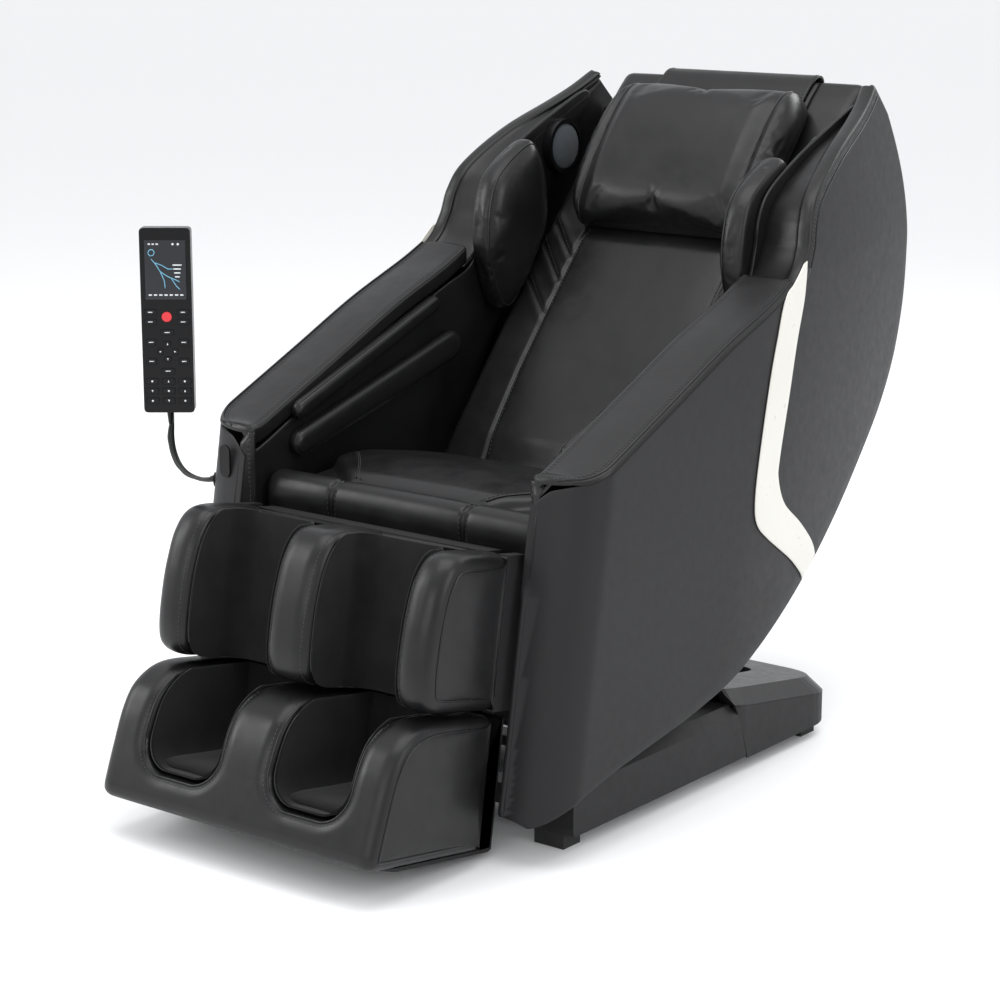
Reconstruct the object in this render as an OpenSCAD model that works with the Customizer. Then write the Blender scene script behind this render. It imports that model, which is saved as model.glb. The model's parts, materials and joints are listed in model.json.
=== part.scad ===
// Reclining massage chair: floor base, sliding carriage, rocking seat shell, lifting leg rest and wired handset.
// Millimetres. X is across the chair, -Y is the front, Z is up. The origin is on the floor, on the centre plane,
// in the middle of the four floor bolts.

/* [Side shells] */
// Half width of the chair over its side shells
shell_half_w = 365; // [362:1:368]
// Wall of a side shell, measured across the chair
shell_t = 9; // [7:1:10]
// Radius of the shell's front corner, seen from above
shell_front_r = 60; // [50:1:70]

/* [Seat and back] */
// Half width of the seat pad
seat_half_w = 246; // [240:1:248]
// Half width of the back pad
back_half_w = 240; // [236:1:242]
// Lean of the back from upright, in degrees
back_lean = 40.3; // [39:0.1:42]

/* [Leg rest] */
// Half width of the calf and foot units
leg_half_w = 258; // [254:1:260]
// Lean of the leg rest from upright, in degrees
leg_lean = 9; // [8:0.5:10]
// Inner edge of a leg channel
well_x0 = 42; // [38:1:46]
// Outer edge of a leg channel
well_x1 = 196; // [190:1:200]

/* [Base] */
// Half width of the base over its covers
base_half_w = 331; // [325:1:335]
// Half distance between the floor bolts, across
bolt_x = 284; // [280:1:286]
// Half distance between the floor bolts, front to back
bolt_y = 320; // [316:1:322]
// Radius of a floor bolt hole
bolt_r = 4.5; // [4:0.5:5.5]

/* [Hidden] */
$fn = 48;

// Clearances: between parts that only lie side by side, and in a running bore
gap = 0.5;
running = 0.05;

// Colours
black_leather = [0.13, 0.13, 0.135];
dark_shell = [0.20, 0.20, 0.21];
dark_plastic = [0.16, 0.16, 0.17];
light_trim = [0.80, 0.79, 0.75];
steel_grey = [0.45, 0.46, 0.48];
soft_black = [0.07, 0.07, 0.07];

// Joint centres, as (y, z)
recline_y = -110;
recline_z = 220;
leg_y = -392;
leg_z = 398;
back_y = 50;
back_z = 430;

// Side shell: y of the front edge rises with z along a straight line
tip_y = -440;
tip_z = 62;
front_slope = 0.167;
front_flat_x = 280;
// Outline of the shell, from the front tip to the top: upper edge and lower edge, paired, as (y, z)
shell_upper = [[-441, 74], [-425, 160], [-407, 270], [-388, 380], [-371, 478], [-362, 518], [-350, 530],
    [-312, 544], [-262, 567], [-144, 619], [-18, 676], [105, 724], [177, 761], [206, 800], [220, 842],
    [250, 882], [335, 934], [430, 974], [480, 997], [522, 1022]];
shell_lower = [[-434, 62], [-390, 92], [-310, 114], [-212, 132], [-105, 151], [0, 177], [80, 208],
    [155, 243], [225, 280], [290, 318], [375, 373], [463, 436], [545, 497], [602, 555], [634, 610],
    [652, 680], [648, 770], [632, 845], [606, 910], [570, 976]];
// Light strip set on the shell: front edge and rear edge, paired, as (y, z)
strip_front = [[188, 783], [160, 758], [132, 737], [112, 680], [92, 612], [66, 494], [59, 436], [68, 404],
    [102, 376], [180, 328], [219, 298], [228, 286]];
strip_rear = [[196, 786], [194, 760], [189, 726], [171, 668], [152, 590], [128, 496], [127, 462],
    [150, 421], [205, 382], [245, 350], [264, 330], [272, 314]];
// Top line of the armrest, as (y, z)
arm_line = [[-358, 536], [-350, 539], [-330, 543], [-262, 573], [-144, 626], [-18, 683], [105, 730],
    [168, 760]];
// Rear wall between the shells, from the bottom up, as (y, z)
rear_line = [[262, 316], [330, 356], [400, 404], [465, 455], [528, 512], [578, 570], [608, 622],
    [628, 690], [630, 768], [614, 840], [590, 900], [556, 962]];

// Handset: its middle, and its size in its own frame (x across, z up its length)
handset_at = [-450, -342, 685];
handset_turn = 38;
handset_w = 78;
handset_h = 286;
handset_t = 22;
key_proud = 1.2;
key_gap = 0.5;
// Route of the handset's cord, from the armrest's side to the handset
cord_route = [[-366, -343, 447], [-373, -345, 446], [-381, -346, 445], [-390, -347, 445],
    [-399, -347, 445], [-408, -347, 446], [-418, -347, 449], [-427, -346, 454], [-435, -346, 460],
    [-442, -345, 468], [-448, -344, 478], [-452, -343, 489], [-454, -343, 499], [-454, -342, 508],
    [-452, -342, 516], [-450, -342, 523]];
cord_r = 2.5;
// Route of the steel rod that carries the handset
rod_route = [[-362, -326, 444], [-376, -334, 442], [-395, -336, 441], [-415, -336, 444], [-432, -335, 451],
    [-446, -333, 463], [-456, -331, 480], [-461, -329, 500], [-461, -328, 530], [-461, -328, 640]];
rod_r = 3.5;

// ---------------------------------------------------------------- helpers

function lerp(a, b, t) = a + (b - a) * t;

// Smooth curve through points p (Catmull-Rom), t from 0 to 1
function curve(p, t) =
    let (n = len(p) - 1, s = min(max(t, 0), 1) * n, i = min(floor(s), n - 1), u = s - i,
         p0 = p[max(i - 1, 0)], p1 = p[i], p2 = p[i + 1], p3 = p[min(i + 2, n)])
    0.5 * (2 * p1 + (p2 - p0) * u + (2 * p0 - 5 * p1 + 4 * p2 - p3) * u * u
        + (3 * p1 - p0 - 3 * p2 + p3) * u * u * u);

function unit(v) = v / norm(v);

// Outline p with each corner replaced by a curve that starts r before it
function rounded(p, r, steps = 4) = [for (i = [0:len(p) - 1])
    let (b = p[i], a = p[(i + len(p) - 1) % len(p)], c = p[(i + 1) % len(p)],
         ra = min(r, 0.45 * norm(a - b)), rc = min(r, 0.45 * norm(c - b)))
    for (k = [0:steps])
        let (s = k / steps)
        (1 - s) * (1 - s) * (b + unit(a - b) * ra) + 2 * s * (1 - s) * b + s * s * (b + unit(c - b) * rc)];

// The child and its mirror image across the chair
module both_sides() {
    children();
    mirror([1, 0, 0]) children();
}

module leg_space() translate([0, leg_y, leg_z]) rotate([-leg_lean, 0, 0]) children();

module back_space() translate([0, back_y, back_z]) rotate([-back_lean, 0, 0]) children();

module handset_space() translate(handset_at) rotate([0, 0, handset_turn]) children();

// A (y, z) outline made solid from x0 to x1
module slab(x0, x1) rotate([90, 0, 90]) translate([0, 0, x0]) linear_extrude(x1 - x0) children();

// A round bar across the chair
module bar_x(x0, x1, y, z, r) translate([x0, y, z]) rotate([0, 90, 0]) cylinder(h = x1 - x0, r = r);

module box(x0, x1, y0, y1, z0, z1) translate([x0, y0, z0]) cube([x1 - x0, y1 - y0, z1 - z0]);

// Solid between two grids of points that share their layout, the outer one facing +X on the right side
module panel(outer, inner) {
    n = len(outer);
    m = len(outer[0]);
    far = n * m;
    function at(i, j) = i * m + j;
    points = concat([for (row = outer) each row], [for (row = inner) each row]);
    skins = [for (i = [0:n - 2], j = [0:m - 2])
        let (a = at(i, j), b = at(i, j + 1), c = at(i + 1, j + 1), d = at(i + 1, j))
        each [[a, d, c], [a, c, b], [a + far, c + far, d + far], [a + far, b + far, c + far]]];
    long_edges = [for (i = [0:n - 2])
        let (a = at(i, 0), d = at(i + 1, 0), b = at(i, m - 1), c = at(i + 1, m - 1))
        each [[d, a, a + far], [d, a + far, d + far], [b, c, c + far], [b, c + far, b + far]]];
    end_edges = [for (j = [0:m - 2])
        let (a = at(0, j), b = at(0, j + 1), d = at(n - 1, j), c = at(n - 1, j + 1))
        each [[a, b, b + far], [a, b + far, a + far], [c, d, d + far], [c, d + far, c + far]]];
    polyhedron(points, concat(skins, long_edges, end_edges));
}

// Solid through rings of points, with flat ends
module loft(rings) {
    n = len(rings);
    m = len(rings[0]);
    points = [for (ring = rings) each ring];
    sides = [for (i = [0:n - 2], j = [0:m - 1])
        let (a = i * m + j, b = i * m + (j + 1) % m, c = (i + 1) * m + (j + 1) % m, d = (i + 1) * m + j)
        each [[a, b, c], [a, c, d]]];
    ends = [[for (j = [m - 1:-1:0]) j], [for (j = [0:m - 1]) (n - 1) * m + j]];
    polyhedron(points, concat(sides, ends));
}

// Round tube along a route, rings steps per stretch
module tube(route, r, sides, steps) {
    count = (len(route) - 1) * steps;
    rings = [for (i = [0:count])
        let (t = i / count,
             ahead = curve(route, min(1, t + 0.002)), behind = curve(route, max(0, t - 0.002)),
             along = unit(ahead - behind),
             side = unit(cross(along, [0.6157, -0.788, 0])), up = cross(side, along))
        [for (k = [0:sides - 1])
            let (a = 360 * k / sides) curve(route, t) + r * (cos(a) * side + sin(a) * up)]];
    loft(rings);
}

// Half width of the shell at (y, z): round front corner, then flat, then drawn in to the rear and the top
function behind_front(y, z) = max(0, y - tip_y - (z - tip_z) * front_slope);
function shell_x(y, z) =
    let (d = behind_front(y, z), u = max(0, 1 - d / shell_front_r))
    front_flat_x + (shell_half_w - front_flat_x) * sqrt(1 - u * u)
        - 80 * pow(max(0, d - 400) / 540, 1.7) - 0.0092 * pow(max(0, z - 770), 1.5);

// ---------------------------------------------------------------- base

module base_frame() color(steel_grey) difference() {
    union() {
        both_sides() box(bolt_x - 20, bolt_x + 20, -bolt_y - 20, bolt_y + 20, 30, 62);
        for (y = [-290, 0, 262]) box(-bolt_x + 20, bolt_x - 20, y - 18, y + 18, 30, 62);
        box(-bolt_x + 20, bolt_x - 20, bolt_y, bolt_y + 18, 34, 56);
    }
    for (x = [-bolt_x, bolt_x], y = [-bolt_y, bolt_y]) translate([x, y, 20]) cylinder(h = 60, r = bolt_r);
}

module base_feet() color(soft_black)
    for (x = [-bolt_x, bolt_x], y = [-bolt_y, bolt_y]) difference() {
        box(x - 26, x + 26, y - 20, y + 20, 0, 30);
        translate([x, y, -5]) cylinder(h = 60, r = bolt_r);
    }

module base_side_cover() color(dark_plastic) difference() {
    intersection() {
        translate([0, 200, 0]) rotate([90, 0, 0]) linear_extrude(545)
            polygon([[256, 24], [base_half_w, 24], [base_half_w, 96], [base_half_w - 16, 112], [256, 112]]);
        slab(200, 340) polygon(rounded([[-345, 20], [108, 20], [70, 125], [-345, 125]], 14));
    }
    box(259, base_half_w - 4, -341, 200, 0, 92);
    box(250, base_half_w - 4, -341, 200, 0, 63);
}
module base_side_cover_left() mirror([1, 0, 0]) base_side_cover();
module base_side_cover_right() base_side_cover();

ring_top_tilt = 9;
ring_y0 = 70;
ring_y1 = 372;
// Outline of the rear ring seen from above, inset on its outside by d
function ring_outline(d) = rounded([[base_half_w - d, ring_y0 - 40], [base_half_w - d, ring_y1 - d],
    [-base_half_w + d, ring_y1 - d], [-base_half_w + d, ring_y0 - 40]], 70, 8);
// The ring's tilted top plane passes through its rear edge
module ring_plane(z) translate([0, ring_y1, 64 + z]) rotate([-ring_top_tilt, 0, 0]) children();
module ring_hole() translate([0, 0, -20]) linear_extrude(300)
    polygon(rounded([[236, -200], [236, 286], [-236, 286], [-236, -200]], 36, 6));
module behind_covers() slab(-400, 400) polygon([[111, 15], [500, 15], [500, 200], [70, 200], [70, 127]]);

module base_rear_ring() color(dark_plastic) difference() {
    intersection() {
        translate([0, 0, 21]) linear_extrude(120) polygon(ring_outline(0));
        behind_covers();
    }
    ring_hole();
    ring_plane(0) translate([-400, -500, 0]) cube([800, 700, 200]);
    translate([0, 0, -1]) linear_extrude(200) difference() {
        polygon(ring_outline(5));
        polygon(rounded([[241, -200], [241, 291], [-241, 291], [-241, -200]], 36, 6));
    }
    box(-206, -114, ring_y1 - 20, ring_y1 + 5, 28, 54);
    both_sides() box(200, 232, ring_y1 - 6, ring_y1 + 5, 0, 42);
    box(-262, 262, 243, 281, 29, 63);
}

module base_ring_cap() color(dark_shell) difference() {
    intersection() {
        ring_plane(gap) hull() {
            linear_extrude(2) translate([0, -ring_y1, 0]) polygon(ring_outline(0));
            translate([0, 0, 22]) linear_extrude(2) translate([0, -ring_y1, 0]) polygon(ring_outline(20));
        }
        behind_covers();
    }
    ring_hole();
    ring_plane(gap) translate([0, 0, -1]) linear_extrude(17) translate([0, -ring_y1, 0]) difference() {
        polygon(ring_outline(26));
        polygon(rounded([[242, -200], [242, 292], [-242, 292], [-242, -200]], 36, 6));
    }
}

module slide_rails() color("silver") both_sides() box(224, 240, -308, 84, 62, 76);

// Pivot of the power switch, as y and z
switch_y = ring_y1 - 8;
switch_z = 41;
module mains_inlet() color(soft_black) {
    difference() {
        box(-204, -156, ring_y1 - 30, ring_y1 + 1, 29, 53);
        box(-199, -161, ring_y1 - 20, ring_y1 + 5, 33, 49);
    }
    for (x = [-190, -180, -170]) box(x - 1, x + 1, ring_y1 - 20, ring_y1 - 6, 38, 44);
    difference() {
        box(-148, -116, ring_y1 - 30, ring_y1 + 1, 29, 53);
        box(-144, -120, ring_y1 - 18, ring_y1 + 5, 32, 50);
        bar_x(-147, -117, switch_y, switch_z, 1.5 + running);
    }
}

module power_switch() color(soft_black) {
    difference() {
        slab(-143, -121) polygon([[ring_y1 - 15, 34], [ring_y1 + 1, 34], [ring_y1 + 3.5, 41],
            [ring_y1 + 3.5, 48], [ring_y1 - 15, 48]]);
        slab(-144, -120) polygon([[ring_y1 - 16, 30], [ring_y1 - 8, 30], [ring_y1 - 16, 60]]);
    }
    bar_x(-146.5, -117.5, switch_y, switch_z, 1.5);
}

wheel_z = 22;
module transport_wheel(x) color(soft_black) translate([x, ring_y1 - 13, wheel_z]) rotate([0, 90, 0])
    rotate_extrude() polygon([[3.2, -9], [15, -9], [17, -7], [17, 7], [15, 9], [3.2, 9]]);
module transport_wheel_left() transport_wheel(-216);
module transport_wheel_right() transport_wheel(216);

// ---------------------------------------------------------------- sliding carriage and recline drive

module carriage_frame() color(steel_grey) difference() {
    union() {
        both_sides() {
            box(212, 252, -260, 60, 96, 112);
            slab(238, 248) polygon(rounded([[-175, 112], [-150, 245], [-70, 245], [-45, 112]], 20));
        }
        for (y = [-236, 30]) box(-212, 212, y - 16, y + 16, 96, 112);
        for (x = [58, 86]) slab(x, x + 6) polygon(rounded([[-252, 112], [-247, 148], [-223, 148], [-218, 112]], 8));
        bar_x(58, 92, recline_foot_y, recline_foot_z, 7);
    }
    bar_x(-260, 260, recline_y, recline_z, 12.5 + running);
}

module glide_blocks() color("ivory") both_sides() for (y = [-215, 15]) difference() {
    box(214, 250, y - 28, y + 28, 66, 96);
    box(224 - gap, 240 + gap, y - 30, y + 30, 60, 76 + gap);
}

module recline_shaft() color("silver") {
    bar_x(-266, 266, recline_y, recline_z, 12.5);
    both_sides() bar_x(262, 268, recline_y, recline_z, 17);
}

// Recline actuator: foot pin on the carriage, head pin on the seat frame, at rest
recline_foot_y = -235;
recline_foot_z = 135;
recline_head_y = -250;
recline_head_z = 340;
recline_lean = atan2(recline_foot_y - recline_head_y, recline_head_z - recline_foot_z);
module recline_actuator_space() translate([75, recline_foot_y, recline_foot_z]) rotate([recline_lean, 0, 0]) children();
recline_reach = norm([recline_head_y - recline_foot_y, recline_head_z - recline_foot_z]);

module recline_actuator_tube() color(dark_plastic) recline_actuator_space() difference() {
    union() {
        translate([0, 0, 16]) cylinder(h = 128, r = 20);
        translate([-8, -9, -12]) cube([16, 18, 30]);
        translate([-30, -16, 20]) cube([60, 22, 34]);
    }
    rotate([0, 90, 0]) translate([0, 0, -20]) cylinder(h = 40, r = 7 + running);
    translate([0, 0, 24]) cylinder(h = 200, r = 11);
}

module recline_actuator_rod() color("silver") recline_actuator_space() difference() {
    union() {
        translate([0, 0, 34]) cylinder(h = recline_reach - 60, r = 10.5);
        translate([0, 0, recline_reach - 30]) cylinder(h = 18, r = 5.8);
        translate([-6, 0, recline_reach]) rotate([0, 90, 0]) cylinder(h = 12, r = 15);
    }
    translate([-20, 0, recline_reach]) rotate([0, 90, 0]) cylinder(h = 40, r = 9.5);
}

// ---------------------------------------------------------------- rocking frame

leg_act_y = -130;
leg_act_z = 344;
module seat_frame() color(steel_grey) difference() {
    union() {
        both_sides() {
            slab(252, 260) polygon(rounded([[-326, 374], [-326, 398], [20, 398], [150, 342], [166, 312],
                [110, 292], [-40, 196], [-85, 186], [-135, 186], [-180, 240], [-250, 330], [-300, 374]], 14));
            slab(222, 230) polygon(rounded([[-296, 368], [-296, 396], [-392, 412], [-408, 406], [-408, 388],
                [-392, 382]], 10));
        }
        box(-252, 252, -322, -296, 368, 396);
        box(-252, 252, 0, 26, 360, 388);
        box(-252, 252, -296, 0, 394, 398);
        for (x = [60, 84]) slab(x, x + 6) polygon(rounded([[-272, 394], [-264, 326], [-236, 326], [-228, 394]], 8));
        bar_x(60, 90, recline_head_y, recline_head_z, 7);
        both_sides() slab(14, 20) polygon(rounded([[-152, 394], [-146, 328], [-114, 328], [-108, 394]], 8));
        bar_x(-20, 20, leg_act_y, leg_act_z, 7);
    }
    bar_x(-300, 300, recline_y, recline_z, 12.5 + running);
    bar_x(-300, 300, leg_y, leg_z, 8 + running);
}

rail_x = 135;
module back_frame() color(steel_grey) back_space() {
    both_sides() box(222, 252, 120, 150, -46, 660);
    for (z = [0, 640]) box(-252, 252, 150, 172, z - 20, z + 20);
}

module massage_rails() color("silver") back_space() both_sides()
    box(rail_x - 7, rail_x + 7, 140, 164, 20, 620);

module side_shell() color(dark_shell) {
    steps = 2 * (len(shell_upper) - 1);
    columns = 9;
    outer = [for (i = [0:steps])
        let (a = curve(shell_upper, i / steps), b = curve(shell_lower, i / steps))
        [for (j = [0:columns])
            let (p = lerp(a, b, pow(j / columns, 1.5))) [shell_x(p[0], p[1]), p[0], p[1]]]];
    inner = [for (row = outer) [for (q = row) q - [shell_t, 0, 0]]];
    panel(outer, inner);
}
module side_shell_left() mirror([1, 0, 0]) side_shell();
module side_shell_right() side_shell();

strip_lift = 0.6;
strip_t = 2.4;
strip_steps = 3 * (len(strip_front) - 1);
// One row across the light strip, lifted off the shell
function strip_row(t, lift) = [for (j = [0:2])
    let (p = lerp(curve(strip_front, t), curve(strip_rear, t), j / 2))
    [shell_x(p[0], p[1]) + lift, p[0], p[1]]];
function strip_grid(lift) = [for (i = [strip_steps:-1:0]) strip_row(i / strip_steps, lift)];
module accent_strip() color(light_trim) panel(strip_grid(strip_lift + strip_t), strip_grid(strip_lift));
module accent_strip_left() mirror([1, 0, 0]) accent_strip();
module accent_strip_right() accent_strip();

liner_x0 = 263;
liner_x1 = 269;
module armrest_pad() color(black_leather) {
    steps = 21;
    loft([for (i = [0:steps])
        let (p = curve(arm_line, i / steps), y = p[0], z = p[1], x = max(shell_x(y, z), 283))
        [for (q = [[liner_x0, -21], [liner_x1 + 1, -21], [liner_x1 + 3, -4], [x, -4], [x + 0.4, 0],
            [x - 3, 3.5], [liner_x0 + 5, 3.5], [liner_x0, -2]]) [q[0], y, z + q[1]]]]);
}
module armrest_pad_left() mirror([1, 0, 0]) armrest_pad();
module armrest_pad_right() armrest_pad();

module side_liner() color(soft_black) slab(liner_x0, liner_x1)
    polygon([[-352, 404], [-354, 503], [-330, 511], [-262, 543], [-144, 596], [-18, 653], [105, 700], [171, 728],
        [196, 790], [206, 842], [240, 884], [330, 932], [430, 974], [480, 992], [500, 985], [90, 404]]);
module side_liner_left() mirror([1, 0, 0]) side_liner();
module side_liner_right() side_liner();

// A long tapered bolster on the liner, from (y, z) a to b
module bolster(a, b, ra, rb, depth) hull() for (e = [[a, ra], [b, rb]])
    slab(liner_x0 - gap - depth, liner_x0 - gap) translate(e[0]) circle(r = e[1], $fn = 32);
module arm_air_pads() color(black_leather) {
    bolster([-258, 556], [62, 680], 14, 12, 18);
    bolster([-258, 505], [104, 606], 20, 24, 20);
}
module arm_air_pads_left() mirror([1, 0, 0]) arm_air_pads();
module arm_air_pads_right() arm_air_pads();

wing_outline = [[166, 800], [174, 730], [222, 650], [318, 768], [326, 850], [300, 918], [270, 924], [190, 874]];
module shoulder_wing() color(black_leather) hull() {
    slab(225, liner_x0 - gap) polygon(rounded(wing_outline, 24));
    slab(206, 225) translate([250, 795]) scale(0.86) translate([-250, -795]) polygon(rounded(wing_outline, 24));
}
module shoulder_wing_left() mirror([1, 0, 0]) shoulder_wing();
module shoulder_wing_right() shoulder_wing();

module speaker() color(soft_black) translate([0, 408, 905]) {
    difference() {
        bar_x(246, liner_x0 - gap, 0, 0, 46);
        bar_x(240, 256, 0, 0, 39);
    }
    bar_x(250, 256, 0, 0, 38.5);
}
module speaker_left() mirror([1, 0, 0]) speaker();
module speaker_right() speaker();

module seat_pad() color(black_leather) slab(-seat_half_w, seat_half_w)
    polygon(rounded([[-290, 402], [-290, 466], [-150, 474], [0, 444], [26, 432], [30, 402]], 16));

module seat_front_skirt() color(black_leather) slab(-leg_half_w, leg_half_w)
    polygon(rounded([[-330, 412], [-330, 466], [-292, 470], [-292, 402], [-318, 402]], 14));

module back_pad() color(black_leather) back_space() slab(-back_half_w, back_half_w)
    polygon([[4, 0], [0, 12], [-3, 200], [0, 450], [2, 700], [8, 770], [16, 788], [26, 786], [32, 768], [33, 690],
        [56, 600], [60, 20], [54, 0]]);

module neck_pillow() color(black_leather) back_space() slab(-190, 190)
    polygon(rounded([[-5, 455], [-30, 452], [-58, 480], [-75, 560], [-76, 650], [-62, 712], [-35, 728],
        [-5, 726]], 14));

module pillow_strap() color(black_leather) back_space() slab(-148, 148)
    polygon([[-2, 728], [1, 766], [6, 784], [14, 795], [26, 794], [34, 776], [34, 700],
        [37.5, 700], [37.5, 778], [28, 798], [13, 799], [2, 787], [-3, 767], [-6, 728]]);

module back_rear_cover() color(dark_shell) {
    steps = 2 * (len(rear_line) - 1);
    columns = 6;
    rows = [for (i = [0:steps])
        let (p = curve(rear_line, i / steps), q = curve(rear_line, min(1, i / steps + 0.01)),
             r = curve(rear_line, max(0, i / steps - 0.01)), along = unit(q - r),
             half = shell_x(p[0], p[1]) - shell_t - 4)
        [for (depth = [0, 5]) [for (j = [0:columns])
            let (x = lerp(half, -half, j / columns))
            [x, p[0] - depth * along[1], p[1] + depth * along[0]]]]];
    panel([for (row = rows) row[0]], [for (row = rows) row[1]]);
}

module control_box() color(dark_plastic) {
    box(-150, 150, -84, -8, 292, 388);
    for (x = [-90, 90]) translate([x, -46, 388]) cylinder(h = 6, r = 12);
}

usb_z = 488;
module usb_port() color(soft_black) translate([-306, 0, usb_z]) {
    shell_y = tip_y + (usb_z - tip_z) * front_slope;
    for (z = [-15, 15]) translate([0, shell_y - 5, z]) rotate([-90, 0, 0]) cylinder(h = 3, r = 10);
    box(-10, 10, shell_y - 5, shell_y - 2, -15, 15);
}

// ---------------------------------------------------------------- handset

module handset_stand() color(soft_black) {
    tube(rod_route, rod_r, 10, 3);
    handset_space() box(-20, 20, handset_t / 2 + 0.3, handset_t / 2 + 3.4, -70, 40);
    translate([-364, -331, 444]) rotate([0, -90, 32]) cylinder(h = 4, r = 11);
    translate([-362, -340, 447]) rotate([0, -90, 32]) cylinder(h = 6, r1 = 6, r2 = 3.5);
}

// Middles of the handset's keys: menu pills, four-way pad and number keys, as (x, z) with (w, h)
menu_keys = concat([for (x = [-25, 25], z = [13.6, -1.4]) [x, z, 18, 8]],
    [[0, -17.7, 20, 8], [0, -77.8, 20, 8]], [for (x = [-25, 25], z = [-33, -62.6]) [x, z, 15, 9]],
    [[0, -35.7, 10, 8], [-11.5, -47.6, 8, 10], [11.5, -47.6, 8, 10], [0, -59.2, 10, 8]]);
number_keys = [for (x = [-25, 0, 25], z = [-93.8, -109, -124.3]) [x, z, 19, 9]];
power_key_z = 6.4;
power_key_r = 7.6;
front_y = -handset_t / 2;

// Key bodies, each grown by g and reaching from depth y0 to y1 in the handset's frame
module key_set(keys, g, y0, y1) for (k = keys) translate([k[0], y1, k[1]]) rotate([90, 0, 0])
    linear_extrude(y1 - y0)
    polygon(rounded([[-k[2] / 2 - g, -k[3] / 2 - g], [k[2] / 2 + g, -k[3] / 2 - g],
        [k[2] / 2 + g, k[3] / 2 + g], [-k[2] / 2 - g, k[3] / 2 + g]], 3, 2));

module handset_body() color(soft_black) handset_space() {
    difference() {
        translate([0, handset_t / 2, 0]) rotate([90, 0, 0]) linear_extrude(handset_t)
            polygon(rounded([[-handset_w / 2, -handset_h / 2], [handset_w / 2, -handset_h / 2],
                [handset_w / 2, handset_h / 2], [-handset_w / 2, handset_h / 2]], 7));
        key_set(menu_keys, key_gap, front_y - 1, front_y + 4);
        key_set(number_keys, key_gap, front_y - 1, front_y + 4);
        translate([0, front_y + 4, power_key_z]) rotate([90, 0, 0]) cylinder(h = 10, r = power_key_r + key_gap);
        box(-32, 32, front_y - 1, front_y + 1, 33, 124);
    }
    translate([0, 0, -handset_h / 2 - 19]) cylinder(h = 19, r1 = 3.4, r2 = 5.5);
}

module handset_power_button() color("red") handset_space()
    translate([0, front_y + 2.5, power_key_z]) rotate([90, 0, 0]) cylinder(h = 2.5 + key_proud, r = power_key_r);

module handset_menu_keys() color("dimgray") handset_space() key_set(menu_keys, 0, front_y - key_proud, front_y + 2.5);

module handset_keypad() color("dimgray") handset_space() key_set(number_keys, 0, front_y - key_proud, front_y + 2.5);

module handset_cord() color(soft_black) tube(cord_route, cord_r, 8, 1);

// ---------------------------------------------------------------- massage mechanism

module massage_carriage() color("silver") back_space() difference() {
    union() {
        box(-118, 118, 146, 158, 60, 180);
        both_sides() {
            for (z = [66, 150]) box(116, 154, 128, 174, z, z + 24);
            slab(96, 104) polygon(rounded([[88, 104], [88, 136], [146, 170], [146, 70]], 8));
        }
        translate([0, 158, 120]) rotate([-90, 0, 0]) cylinder(h = 34, r = 30);
    }
    both_sides() box(rail_x - 7 - gap, rail_x + 7 + gap, 140 - gap, 164 + gap, 0, 400);
    bar_x(-200, 200, 104, 120, 8 + running);
}

module massage_rollers() color("ivory") back_space() translate([0, 104, 120]) {
    bar_x(-112, 112, 0, 0, 8);
    for (x = [-78, -42, 42, 78]) translate([x, 4, 0]) rotate([0, 90, 0]) rotate_extrude()
        polygon([[0, -13], [22, -13], [29, -7], [31, 0], [29, 7], [22, 13], [0, 13]]);
}

// ---------------------------------------------------------------- leg rest

// Leg actuator: its line at rest, and the crank pin on the calf frame
crank_r = 60;
crank_angle = 37.5;
crank_y = leg_y + crank_r * sin(crank_angle);
crank_z = leg_z - crank_r * cos(crank_angle);
module leg_actuator_tube() color(dark_plastic) difference() {
    union() {
        translate([0, leg_act_y - 24, leg_act_z]) rotate([90, 0, 0]) cylinder(h = 120, r = 17);
        box(-13, 13, leg_act_y - 20, leg_act_y + 12, leg_act_z - 12, leg_act_z + 12);
        box(-44, 12, leg_act_y - 52, leg_act_y - 22, leg_act_z - 14, leg_act_z + 14);
    }
    bar_x(-20, 20, leg_act_y, leg_act_z, 7 + running);
    translate([0, leg_act_y - 24, leg_act_z]) rotate([90, 0, 0]) cylinder(h = 200, r = 10);
}

module leg_actuator_rod() color("silver") difference() {
    union() {
        translate([0, leg_act_y - 34, leg_act_z]) rotate([90, 0, 0])
            cylinder(h = leg_act_y - 34 - crank_y - 14, r = 9.5);
        bar_x(-8, 8, crank_y, leg_act_z, 19);
    }
    bar_x(-20, 20, crank_y, leg_act_z, 14);
}

guide_x = 150;
module calf_frame() color(steel_grey) {
    bar_x(-214, 214, leg_y, leg_z, 13);
    both_sides() {
        bar_x(208, 236, leg_y, leg_z, 8);
        slab(10, 16) polygon(rounded([[leg_y - 14, leg_z + 6], [leg_y + 14, leg_z + 6],
            [crank_y + 13, crank_z - 4], [crank_y + 2, crank_z - 13], [crank_y - 12, crank_z - 6]], 6));
        leg_space() {
            box(206, 214, -15, 16, -178, 14);
            difference() {
                translate([guide_x, 4, -182]) cylinder(h = 86, r = 12);
                translate([guide_x, 4, -200]) cylinder(h = 120, r = 8 + running);
            }
        }
    }
    bar_x(-16, 16, crank_y, crank_z, 6);
    leg_space() for (z = [-176, -112]) difference() {
        box(-206, 206, -8, 0, z, z + 14);
        both_sides() translate([guide_x, 4, -200]) cylinder(h = 300, r = 12);
    }
}

// Side outline of the calf unit's padding, as (y, z) in the leg rest's frame
calf_outline = [[-16, 36], [-64, 40], [-118, 38], [-146, 14], [-160, -38], [-166, -94], [-164, -150],
    [-140, -178], [-16, -186]];
module calf_housing() color(dark_plastic) leg_space() difference() {
    box(-leg_half_w, leg_half_w, -16 + gap, 25, -184, 36);
    box(-leg_half_w + 5, leg_half_w - 5, -20, 20, -190, 31);
    both_sides() box(216, 240, -30, 40, -26, 50);
    box(-24, 24, 10, 40, -90, 12);
}

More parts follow.
